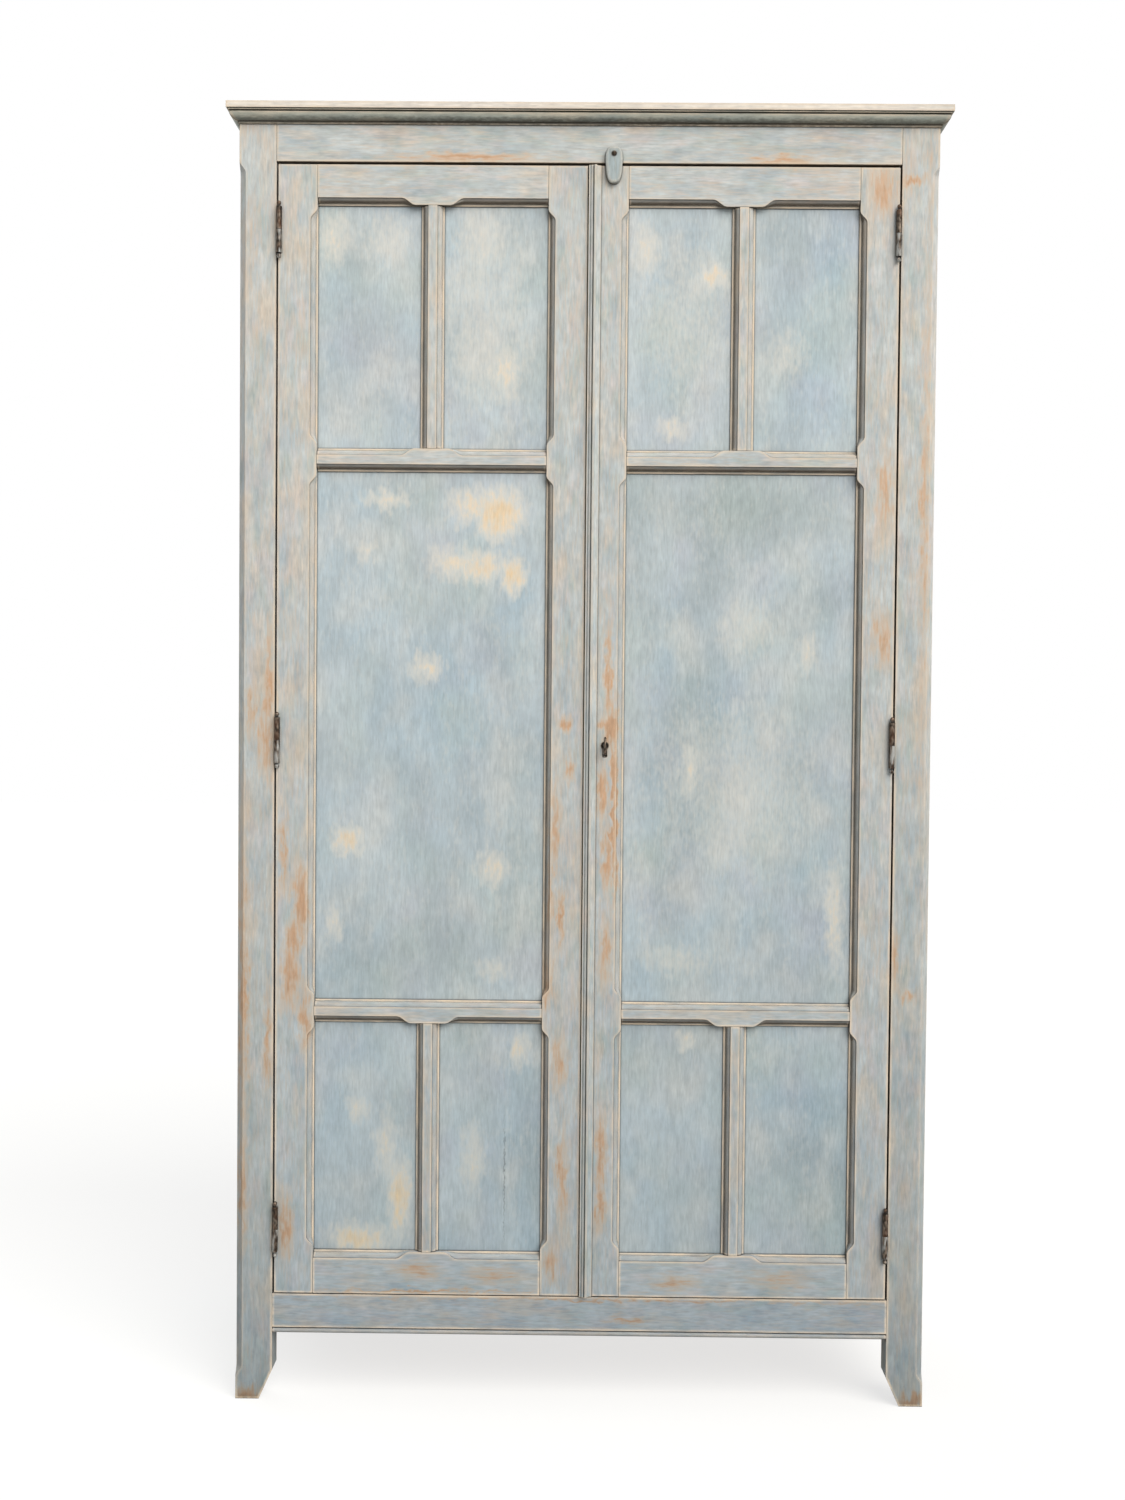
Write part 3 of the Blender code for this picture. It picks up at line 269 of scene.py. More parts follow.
def chalk_paint(name, grain, tone, tints, undercoat, wood, rubbing, edge_rubbing, softness, spots=(),
                raggedness=8, arris_reach=0.0045, glaze_and_shade=0.92, low_shade=LOW_SHADE_TINT, brushiness=0.95, moulded=False,
                smoke=None, cracks_and_shade_lines=()):
    """Chalk paint over an undercoat on wood: matt, brushed along the grain, clouded with tints, and rubbed
    through where it lay thin, at worn spots and along open arrises, with painted shade in glaze and dust
    browns in the recesses and on sides that look down and to the left, and darker towards the floor.
    Smoke is a tone and the spots where it darkens the paint."""
    material, tree, shader = new_material(name)
    place = add_node(tree, "ShaderNodeTexCoord").outputs["Object"]
    axes = add_node(tree, "ShaderNodeSeparateXYZ", {0: place})

    # The film of paint, thicker and thinner by the brush.
    strokes = drawn_out(tree, grain, *BRISTLE_LINES, detail=5.0)
    sweeps = drawn_out(tree, grain, *BRUSH_SWEEPS, detail=4.0)
    scuffs = drawn_out(tree, grain, *SANDING_SCUFFS, detail=5.0)
    film = add_node(tree, "ShaderNodeMath", {0: strokes, 1: 1.6, 2: sweeps}, operation="MULTIPLY_ADD")
    film = add_node(tree, "ShaderNodeMath", {0: scuffs, 1: 0.8, 2: film}, operation="MULTIPLY_ADD")

    # Its colour, clouded with the tints and lighter where the film is thick.
    clouded = linear(tone)
    for tint, across, along, start, share in tints:
        cloud = drawn_out(tree, grain, across, along, detail=1.0 + 2 * brushiness)
        brushy = add_node(tree, "ShaderNodeMath", {0: film, 1: 0.12 * brushiness, 2: cloud},
                          operation="MULTIPLY_ADD")
        thinnest = start - 0.18 * (1 - brushiness)
        patch = add_node(tree, "ShaderNodeMapRange", {
            "Value": brushy, "From Min": thinnest, "From Max": thinnest + 0.34 - 0.16 * brushiness,
            "To Max": share})
        clouded = add_node(tree, "ShaderNodeMixRGB",
                           {"Fac": patch, "Color1": clouded, "Color2": linear(tint)})
    bright = add_node(tree, "ShaderNodeMapRange", {
        "Value": film, "From Min": 1.3, "From Max": 2.1,
        "To Min": 0.90 - 0.08 * brushiness, "To Max": 1.10 + 0.08 * brushiness})
    if smoke:
        smoke_tone, smoke_spots = smoke
        smoky = listed_spots(tree, grain, smoke_spots, SMOKE_RAGGEDNESS)
        clouded = add_node(tree, "ShaderNodeMixRGB",
                           {"Fac": smoky, "Color1": clouded, "Color2": linear(smoke_tone)})
    paint = add_node(tree, "ShaderNodeVectorMath", {0: clouded, "Scale": bright}, operation="SCALE")

    # How far it is rubbed: first to the undercoat, then to the wood, more easily where it holds less.
    thin = add_node(tree, "ShaderNodeMapRange", {
        "Value": drawn_out(tree, grain, *THIN_PLACES, detail=3.0), "From Min": 0.42, "From Max": 0.78})
    region = add_node(tree, "ShaderNodeMapRange", {
        "Value": drawn_out(tree, grain, *RUBBED_REGIONS), "From Min": 0.38, "From Max": 0.66,
        "To Max": rubbing})
    rubbed = add_node(tree, "ShaderNodeMath", {0: thin, 1: region}, operation="MULTIPLY")
    if spots:
        worn = listed_spots(tree, grain, spots, raggedness)
        rubbed = add_node(tree, "ShaderNodeMath", {0: worn, 1: SPOT_GAIN, 2: rubbed},
                          operation="MULTIPLY_ADD")
    grip = drawn_out(tree, grain, 6 - 3 * brushiness, 4 + 22 * brushiness, detail=4.0)
    hold = add_node(tree, "ShaderNodeMapRange", {
        "Value": grip, "From Min": 0.3, "From Max": 0.7,
        "To Min": 0.42 - 0.32 * brushiness, "To Max": 0.58 + 0.32 * brushiness})
    through = add_node(tree, "ShaderNodeMath", {0: rubbed, 1: hold}, operation="SUBTRACT")
    undercoat_shows = add_node(tree, "ShaderNodeMapRange", {
        "Value": through, "From Min": -softness, "From Max": softness})
    wood_shows = add_node(tree, "ShaderNodeMapRange", {
        "Value": through, "From Min": softness * 0.4, "From Max": softness * 1.9, "To Max": 0.9})
    grained = add_node(tree, "ShaderNodeVectorMath", {0: linear(wood)[:3], "Scale": bright},
                       operation="SCALE")
    coat = add_node(tree, "ShaderNodeMixRGB",
                    {"Fac": undercoat_shows, "Color1": paint, "Color2": linear(undercoat)})
    coat = add_node(tree, "ShaderNodeMixRGB", {"Fac": wood_shows, "Color1": coat, "Color2": grained})

    # Painted shade, darker and bluer towards the floor.
    share_up = add_node(tree, "ShaderNodeMapRange", {
        "Value": axes.outputs["Z"], "From Min": 0.0, "From Max": LOW_SHADE_HEIGHT})
    share_up = add_node(tree, "ShaderNodeMath", {0: share_up}, operation="SQRT")
    low_down = add_node(tree, "ShaderNodeMath", {0: 1.0, 1: share_up}, operation="SUBTRACT")
    coat = add_node(tree, "ShaderNodeMixRGB", {"Fac": low_down, "Color1": coat, "Color2": linear(low_shade)},
                    blend_type="MULTIPLY")

    # Painted shade in a dusty brown, in sheltered places and in the door mouldings, most on sides that look
    # down and to the left.
    crevice = add_node(tree, "ShaderNodeAmbientOcclusion", {"Distance": CREVICE_REACH}, samples=4)
    shelter = add_node(tree, "ShaderNodeAmbientOcclusion", {"Distance": SHELTER_REACH}, samples=3)
    sheltered_shade = add_node(tree, "ShaderNodeMapRange", {
        "Value": shelter.outputs["AO"], "From Min": 0.95, "From Max": 0.68})
    normal = add_node(tree, "ShaderNodeTexCoord").outputs["Normal"]
    facing = add_node(tree, "ShaderNodeVectorMath", {0: normal, 1: SHADED_SIDE}, operation="DOT_PRODUCT")
    facing_shade = add_node(tree, "ShaderNodeMapRange", {
        "Value": facing.outputs["Value"], "From Min": 0.0, "From Max": 0.55, "To Min": 0.14, "To Max": 0.95})
    if moulded:
        edge, below_edge = MOULDING_EDGE
        foot, above_foot = MOULDING_FOOT
        below_face = add_node(tree, "ShaderNodeMapRange", {
            "Value": axes.outputs["Y"], "From Min": FRONT + edge, "From Max": FRONT + below_edge})
        before_panel = add_node(tree, "ShaderNodeMapRange", {
            "Value": axes.outputs["Y"], "From Min": FRONT + foot, "From Max": FRONT + above_foot})
        in_moulding = add_node(tree, "ShaderNodeMath", {0: below_face, 1: before_panel}, operation="MULTIPLY")
        sheltered_shade = add_node(tree, "ShaderNodeMath", {0: sheltered_shade, 1: in_moulding}, operation="MAXIMUM")
    shade_and_dust = add_node(tree, "ShaderNodeMath", {0: sheltered_shade, 1: facing_shade}, operation="MULTIPLY")
    coat = add_node(tree, "ShaderNodeMixRGB", {"Fac": shade_and_dust, "Color1": coat, "Color2": linear(DUST_AND_SHADE_BROWN)})

    # Cream along the arrises that stand free, unevenly, painted shade in glaze brown deep in the corners, and
    # the listed dark lines: real cracks and painted shadow lines.
    solid = add_node(tree, "ShaderNodeAmbientOcclusion", {"Distance": arris_reach}, samples=4, inside=True,
                     only_local=True)
    arris = add_node(tree, "ShaderNodeMapRange", {
        "Value": solid.outputs["AO"], "From Min": 0.94, "From Max": 0.66, "To Max": edge_rubbing})
    exposed = add_node(tree, "ShaderNodeMapRange", {
        "Value": crevice.outputs["AO"], "From Min": 0.72, "From Max": 0.92})
    arris = add_node(tree, "ShaderNodeMath", {0: arris, 1: exposed}, operation="MULTIPLY")
    uneven = add_node(tree, "ShaderNodeMapRange", {
        "Value": sweeps, "From Min": 0.32, "From Max": 0.6, "To Min": 0.25, "To Max": 1.0})
    arris = add_node(tree, "ShaderNodeMath", {0: arris, 1: uneven}, operation="MULTIPLY")
    coat = add_node(tree, "ShaderNodeMixRGB", {"Fac": arris, "Color1": coat, "Color2": linear(ARRIS_CREAM)})
    crevice_shade = add_node(tree, "ShaderNodeMapRange", {
        "Value": crevice.outputs["AO"], "From Min": 0.86, "From Max": 0.62, "To Max": glaze_and_shade})
    coat = add_node(tree, "ShaderNodeMixRGB", {"Fac": crevice_shade, "Color1": coat, "Color2": linear(GLAZE_AND_SHADE_BROWN)})
    # Real cracks, and painted shadow lines such as the one along the cornice's foot.
    if cracks_and_shade_lines:
        dark_line = listed_spots(tree, grain, cracks_and_shade_lines, DARK_LINE_RAGGEDNESS)
        dark_line = add_node(tree, "ShaderNodeMath", {0: dark_line, 1: DARK_LINE_LIMIT}, operation="MINIMUM")
        coat = add_node(tree, "ShaderNodeMixRGB",
                        {"Fac": dark_line, "Color1": coat, "Color2": linear(GLAZE_AND_SHADE_BROWN)})

    # A matt surface, a little smoother where the film is thick, lower where it is rubbed away.
    roughness = add_node(tree, "ShaderNodeMapRange", {
        "Value": film, "From Min": 1.1, "From Max": 1.9, "To Min": 0.85, "To Max": 0.68})
    relief = add_node(tree, "ShaderNodeMath", {0: undercoat_shows, 1: -0.4, 2: film},
                      operation="MULTIPLY_ADD")
    bump = add_node(tree, "ShaderNodeBump", {"Height": relief, "Strength": 0.3, "Distance": PAINT_RELIEF})
    shader.inputs["Specular IOR Level"].default_value = CHALK_GLOSS
    tree.links.new(coat.outputs[0], shader.inputs["Base Color"])
    tree.links.new(roughness.outputs[0], shader.inputs["Roughness"])
    tree.links.new(bump.outputs[0], shader.inputs["Normal"])
    return material


# Worn spots on the posts and stiles, in mm from the middle and from the floor.
UPRIGHT_SPOTS = (
    (452, 1876, 26, 40, 0.85),
    (458, 1190, 16, 45, 0.8),
    (459, 1420, 14, 60, 0.75),
    (38, 1130, 7, 90, 0.95),
    (40, 1051, 12, 24, 1.3),
    (48, 930, 5, 150, 1.2),
    (29, 948, 9, 40, 1.1),
    (36, 847, 8, 50, 0.9),
    (36, 708, 10, 60, 0.8),
    (31, 390, 9, 60, 0.9),
    (31, 310, 9, 40, 1.0),
    (-45, 893, 9, 70, 0.75),
    (-26, 1055, 9, 12, 1.0),
    (-21, 986, 8, 18, 0.8),
    (-33, 528, 11, 40, 0.8),
    (-28, 357, 9, 70, 0.75),
    (-44, 216, 12, 34, 0.85),
    (-57, 653, 12, 40, 0.75),
    (-437, 781, 12, 60, 1.0),
    (-452, 664, 14, 60, 1.0),
    (-458, 270, 10, 50, 0.9),
    (-492, 1028, 14, 50, 0.8),
    (-526, 640, 8, 300, 0.7),
    (492, 1891, 22, 9, 0.9),
    (482, 697, 8, 50, 0.9),
    (520, 1400, 8, 400, 0.6),
    (-486, 1110, 7, 110, 0.8),
    (-512, 1080, 9, 50, 0.7),
    (-522, 620, 7, 110, 0.9),
    (-486, 560, 6, 80, 0.8),
    (-525, 330, 8, 90, 0.9),
    (-445, 720, 14, 30, 1.0),
    (-430, 600, 8, 50, 0.9),
    (-462, 850, 7, 60, 0.8),
    (-50, 800, 6, 60, 0.75),
    (-34, 760, 5, 40, 0.8),
    (505, 640, 10, 8, 0.9),
    (-518, 6, 26, 14, 1.1),
    (518, 6, 26, 14, 1.1),
)
# To the eye: streaky pale grey, cool and warm by turns, chalky and dry, with peach streaks and pale arrises.
uprights_paint = chalk_paint("chalk_paint_rubbed_on_pine_uprights", "Z", *FRAME_COATS, rubbing=0.7,
                             edge_rubbing=0.95, softness=0.5, spots=UPRIGHT_SPOTS, low_shade=POST_LOW_SHADE)
dress([f"{end}_post_{hand}" for end in ("front", "rear") for hand in ("left", "right")], uprights_paint)

# Front rails: the frieze over the doors and the beaded rail under them, of planed pine, tenoned between the
# posts. The same chalk paint, but brushed from side to side along their grain.
# Painted shade towards the floor on the rails.
RAIL_LOW_SHADE = "#A8B7C8"
RAIL_SPOTS = (
    (-182, 1920, 110, 9, 0.9),
    (291, 1920, 50, 8, 0.8),
    (-251, 205, 36, 14, 0.7),
    (-131, 199, 40, 14, 0.7),
    (149, 190, 30, 12, 0.7),
    (312, 196, 46, 14, 0.62),
    (77, 131, 34, 6, 0.9),
    (-250, 171, 190, 3, 0.9),
    (60, 163, 420, 3, 0.8),
)
# To the eye: the posts' grey with its streaks lying level, bluer low down.
rails_paint = chalk_paint("chalk_paint_rubbed_on_pine_rails", "X", *FRAME_COATS, rubbing=0.7,
                          edge_rubbing=0.95, softness=0.5, spots=RAIL_SPOTS, low_shade=RAIL_LOW_SHADE)
dress(["frieze_rail", "bottom_rail"], rails_paint)

# Sides and back: pine boards side by side, the sides let into grooves in the posts, the back into rebates in
# the rear pair. The sides are painted like the posts but less rubbed, the back is left bare and planed, each
# board with its own colour of aged pine.
SIDE_TINTS = (
    ("#A3B3BC", 34, 360, 0.68, 0.4),
    ("#ABB8B0", 30, 280, 0.70, 0.35),
    ("#DCCBB6", 40, 420, 0.70, 0.4),
)
PINE_LIGHT = "#CFA878"
PINE_DARK = "#A87C4E"
PINE_LINE = "#8A5F38"
# Across and along the grain, in mm. Real resin flecks are under half a mm wide and are drawn coarser to show.
GROWTH_LINES = (4, 240)
PINE_FIGURE = (28, 520)
RESIN_FLECKS = (1.6, 22)
BOARDS_APART = 40.0
JOINT_REACH = 0.005
PINE_RELIEF = 0.0005
BACK_BOARDS = 7


def aged_pine(name, grain, board_axis, board_width):
    """Unpainted pine gone brown with age: drawn-out growth lines, some dark, each board its own tone, and
    dust and painted shade in the joints and corners.
    """
    material, tree, shader = new_material(name)
    place = add_node(tree, "ShaderNodeTexCoord").outputs["Object"]
    across = add_node(tree, "ShaderNodeSeparateXYZ", {0: place}).outputs[board_axis]
    board = add_node(tree, "ShaderNodeMath", {0: across, 1: board_width}, operation="DIVIDE")
    number = add_node(tree, "ShaderNodeMath", {0: board}, operation="ROUND")
    tones = add_node(tree, "ShaderNodeTexWhiteNoise", {"W": number}, noise_dimensions="1D")
    own_tone = tones.outputs["Value"]
    apart = add_node(tree, "ShaderNodeMath", {0: own_tone, 1: BOARDS_APART}, operation="MULTIPLY")
    lines = drawn_out(tree, grain, *GROWTH_LINES, detail=3.0, apart=apart)
    figure = drawn_out(tree, grain, *PINE_FIGURE, apart=apart)
    fleck = drawn_out(tree, grain, *RESIN_FLECKS, apart=apart)

    light = add_node(tree, "ShaderNodeMapRange", {"Value": figure, "From Min": 0.35, "From Max": 0.65})
    wood = add_node(tree, "ShaderNodeMixRGB",
                    {"Fac": light, "Color1": linear(PINE_DARK), "Color2": linear(PINE_LIGHT)})
    late = add_node(tree, "ShaderNodeMapRange", {
        "Value": lines, "From Min": 0.52, "From Max": 0.7, "To Max": 0.55})
    wood = add_node(tree, "ShaderNodeMixRGB", {"Fac": late, "Color1": wood, "Color2": linear(PINE_LINE)})
    shade = add_node(tree, "ShaderNodeMapRange", {"Value": own_tone, "To Min": 0.84, "To Max": 1.14})
    wood = add_node(tree, "ShaderNodeVectorMath", {0: wood, "Scale": shade}, operation="SCALE")
    # Dust in the joints, and painted shade there and in every inner corner, in glaze brown.
    corner = add_node(tree, "ShaderNodeAmbientOcclusion", {"Distance": JOINT_REACH}, samples=4)
    dusty = add_node(tree, "ShaderNodeMapRange", {
        "Value": corner.outputs["AO"], "From Min": 0.9, "From Max": 0.55, "To Max": 0.85})
    wood = add_node(tree, "ShaderNodeMixRGB", {"Fac": dusty, "Color1": wood, "Color2": linear(GLAZE_AND_SHADE_BROWN)})

    roughness = add_node(tree, "ShaderNodeMapRange", {"Value": fleck, "To Min": 0.55, "To Max": 0.8})
    relief = add_node(tree, "ShaderNodeMath", {0: lines, 1: fleck}, operation="ADD")
    bump = add_node(tree, "ShaderNodeBump", {"Height": relief, "Strength": 0.3, "Distance": PINE_RELIEF})
    tree.links.new(wood.outputs[0], shader.inputs["Base Color"])
    tree.links.new(roughness.outputs[0], shader.inputs["Roughness"])
    tree.links.new(bump.outputs[0], shader.inputs["Normal"])
    return material


# To the eye: the sides are an even streaky grey, the back is honey brown, striped, with dark joints.
sides_paint = chalk_paint("chalk_paint_on_side_boards", "Z", GREY, SIDE_TINTS, PEACH_UNDERCOAT, BARE_PINE,
                          rubbing=0.35, edge_rubbing=0.95, softness=0.4, low_shade=POST_LOW_SHADE)
back_low, back_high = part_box("back_panel")
upright_pine = aged_pine("aged_pine_upright_boards", "Z", "X", (back_high.x - back_low.x) / BACK_BOARDS)
dress(["side_panel_left", "side_panel_right"], sides_paint)
dress(["back_panel"], upright_pine)

# Floor and shelves: broad planed pine boards lying across the cupboard, their ends housed in the sides.
# They are left bare, and to the eye they are the back's honey brown with its grain lying level.
SHELF_BOARD = 0.16
lying_pine = aged_pine("aged_pine_lying_boards", "X", "Y", SHELF_BOARD)
dress(["floor_board", "shelf_lower", "shelf_upper"], lying_pine)

# Top board and cornice: a thin board over three mitred lengths of moulding, glued and pinned to the carcass.
# Greener and darker chalk paint than on the frame, with cream rubbed through along its fillets, nearly worn
# off the board's edge, and dust on the board's upper face.
CORNICE_GREEN = "#B6BAAF"
CORNICE_TINTS = (
    ("#A3ABA6", 20, 90, 0.66, 0.8),
    ("#CBC2AF", 26, 120, 0.70, 0.8),
)
CORNICE_UNDERCOAT = "#D6C3A4"
CORNICE_WOOD = "#C9A27B"
CORNICE_COATS = (CORNICE_GREEN, CORNICE_TINTS, CORNICE_UNDERCOAT, CORNICE_WOOD)
TOP_EDGE_CREAM = "#EEE6DC"
TOP_EDGE_TINTS = (
    ("#CDCBC2", 30, 340, 0.70, 0.55),
    ("#F2E6D4", 44, 420, 0.66, 0.7),
)
TOP_UNDERCOAT = "#EADBC2"
TOP_WOOD = "#D9BE9C"
TOP_DUST = "#8E8A81"
DUST_SHARE = 0.6
SHADOW_LINE_HEIGHT = 3.5
# To the eye: a cream edge, nearly plain, under a grey-brown upper face.
top_paint = chalk_paint("chalk_paint_worn_thin_on_top_board", "X", TOP_EDGE_CREAM, TOP_EDGE_TINTS,
                        TOP_UNDERCOAT, TOP_WOOD, rubbing=0.35, edge_rubbing=0.9, softness=0.22)
tree = top_paint.node_tree
top_shader = tree.nodes["Principled BSDF"]
clean = top_shader.inputs["Base Color"].links[0].from_socket
upward = add_node(tree, "ShaderNodeSeparateXYZ", {0: add_node(tree, "ShaderNodeTexCoord").outputs["Normal"]})
settled = add_node(tree, "ShaderNodeMapRange", {
    "Value": upward.outputs["Z"], "From Min": 0.6, "From Max": 0.95, "To Max": DUST_SHARE})
dusty = add_node(tree, "ShaderNodeMixRGB", {"Fac": settled, "Color1": clean, "Color2": linear(TOP_DUST)})
tree.links.new(dusty.outputs[0], top_shader.inputs["Base Color"])
# To the eye: grey-green mouldings with cream edges, and a painted shadow line where the front one ends below.
cornice_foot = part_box("cornice_front")[0].z
CORNICE_SHADOW_LINE = ((0, 1000 * cornice_foot + SHADOW_LINE_HEIGHT, 900, 5, 0.9),)
cornice_paint = chalk_paint("chalk_paint_rubbed_on_cornice", "X", *CORNICE_COATS, rubbing=0.6,
                            edge_rubbing=0.9, softness=0.22, cracks_and_shade_lines=CORNICE_SHADOW_LINE)
returns_paint = chalk_paint("chalk_paint_rubbed_on_cornice_returns", "Y", *CORNICE_COATS, rubbing=0.6,
                            edge_rubbing=0.9, softness=0.22)
dress(["top_board"], top_paint)
dress(["cornice_front"], cornice_paint)
dress(["cornice_left", "cornice_right"], returns_paint)

# Door framing: pine stiles, rails and muntins, mortised and tenoned, with a moulding worked on their inner
# edges that stops short of every joint. Painted and rubbed like the rest of the frame.
# Painted shade towards the floor on the doors.
DOOR_LOW_SHADE = "#B6C4D2"
UPRIGHT_FRAMING = ("hinge_stile", "closing_stile", "upper_muntin", "lower_muntin")
LYING_FRAMING = ("top_rail", "upper_cross_rail", "lower_cross_rail", "bottom_rail")
# To the eye: the posts' grey, with dark brown painted shade in the mouldings that look down and to the left.
stiles_paint = chalk_paint("chalk_paint_rubbed_on_door_stiles", "Z", *FRAME_COATS, rubbing=0.6,
                           edge_rubbing=0.95, softness=0.5, spots=UPRIGHT_SPOTS, low_shade=DOOR_LOW_SHADE, moulded=True)
door_rails_paint = chalk_paint("chalk_paint_rubbed_on_door_rails", "X", *FRAME_COATS, rubbing=0.6,
                               edge_rubbing=0.95, softness=0.5, spots=RAIL_SPOTS, low_shade=DOOR_LOW_SHADE,
                               moulded=True)
for hand in ("left", "right"):
    dress([f"{hand}_door_{bar}" for bar in UPRIGHT_FRAMING], stiles_paint)
    dress([f"{hand}_door_{bar}" for bar in LYING_FRAMING], door_rails_paint)

# Door panels: thin boards held loose in the framing's grooves. Bluer chalk paint on a yellowish ground, laid
# on in upright strokes, with soft cream patches rubbed through by hand.
PANEL_BLUE = "#CAD4D8"
PANEL_TINTS = (
    ("#B1C5D0", 120, 180, 0.62, 0.9),
    ("#BEBFC9", 80, 120, 0.66, 0.6),
    ("#BAC6C0", 90, 130, 0.64, 0.65),
    ("#A8B4BA", 100, 150, 0.66, 0.7),
    ("#D7D8D4", 60, 80, 0.68, 0.8),
)
CREAM_UNDERCOAT = "#E8E4DA"
YELLOW_GROUND = "#F5D8AE"
PANEL_SPOTS = (
    (-132, 1380, 38, 38, 1.3),
    (-172, 1392, 40, 28, 0.95),
    (-205, 1306, 38, 24, 0.85),
    (-165, 1296, 48, 24, 1.0),
    (-112, 1285, 22, 30, 1.1),
    (-309, 1401, 36, 14, 0.7),
    (-339, 1320, 14, 16, 0.7),
    (-244, 1143, 26, 20, 0.9),
    (-365, 875, 24, 22, 1.05),
    (-141, 831, 24, 26, 0.8),
    (-386, 741, 16, 30, 0.7),
    (-138, 672, 26, 18, 0.6),
    (-390, 1800, 24, 40, 0.7),
    (-311, 1800, 36, 40, 0.5),
    (-162, 1795, 40, 40, 0.5),
    (-125, 1596, 24, 40, 0.8),
    (-160, 1690, 60, 120, 0.34),
    (150, 1680, 60, 110, 0.34),
    (192, 1743, 20, 20, 1.0),
    (89, 1784, 18, 40, 0.7),
    (131, 1514, 22, 18, 0.7),
    (308, 1629, 30, 40, 0.45),
    (250, 1207, 40, 40, 0.45),
    (342, 1168, 13, 30, 0.7),
    (163, 985, 16, 46, 0.7),
    (390, 760, 14, 80, 0.8),
    (151, 690, 50, 22, 0.45),
    (-346, 250, 50, 24, 1.15),
    (-282, 312, 18, 60, 1.1),
    (-303, 399, 18, 50, 0.7),
    (-347, 453, 18, 24, 0.7),
    (-95, 549, 15, 30, 0.8),
    (-167, 380, 18, 50, 0.7),
    (161, 563, 14, 16, 0.7),
    (235, 965, 110, 120, 0.34),
)
SMOKE_GREY = "#A3AFAE"
PANEL_SMOKE = (
    (235, 1385, 150, 60, 0.8),
    (100, 1250, 40, 130, 0.4),
    (-240, 690, 130, 60, 0.5),
    (-110, 1500, 40, 30, 0.5),
)
PANEL_CRACKS = ((-118, 348, 0.9, 90, 0.8),)
PANELS = ("upper_inner", "upper_outer", "middle", "lower_inner", "lower_outer")
# To the eye: broad clouds of blue and grey, softer than on the frame, with cream and yellow patches.
panels_paint = chalk_paint("chalk_paint_rubbed_on_panels", "Z", PANEL_BLUE, PANEL_TINTS, CREAM_UNDERCOAT,
                           YELLOW_GROUND, rubbing=0.28, edge_rubbing=0.6, softness=0.44, spots=PANEL_SPOTS,
                           raggedness=9, brushiness=0.35, smoke=(SMOKE_GREY, PANEL_SMOKE),
                           cracks_and_shade_lines=PANEL_CRACKS)
for hand in ("left", "right"):
    dress([f"{hand}_door_{panel}_panel" for panel in PANELS], panels_paint)

# Closing strip: a moulded pine lath nailed along the right door's edge, where it laps part of the gap between
# the doors. Painted with the frame, to the eye a run of fine grey fillets with little painted shade between
# them.
STRIP_ARRIS = 0.0004
strip_paint = chalk_paint("chalk_paint_rubbed_on_closing_strip", "Z", *FRAME_COATS, rubbing=0.4,
                          edge_rubbing=0.9, softness=0.32, arris_reach=0.0018, glaze_and_shade=0.4)
dress(["closing_strip"], strip_paint, STRIP_ARRIS)

# Hinges: six wrought lift-off hinges, a knuckle on the post's leaf and one on the door's, with ball ends.
# Dark brown iron, filed, worn paler in patches, with smears of grey paint.
FILED_ARRIS = 0.0003
IRON_DARK = "#2C2620"
IRON_WORN = "#7A6E62"
IRON_RUST = "#6B4A36"
# Painted shade in the iron's corners.
IRON_SHADE = "#17130F"
SMEARED_PAINT = "#AFB0AC"
# Across and up, in mm.
FORGE_SCALE = (4, 7)
PAINT_SMEARS = (5, 24)
RUST_BLOTCHES = (8, 11)
IRON_SHADE_REACH = 0.004
IRON_RELIEF = 0.0004


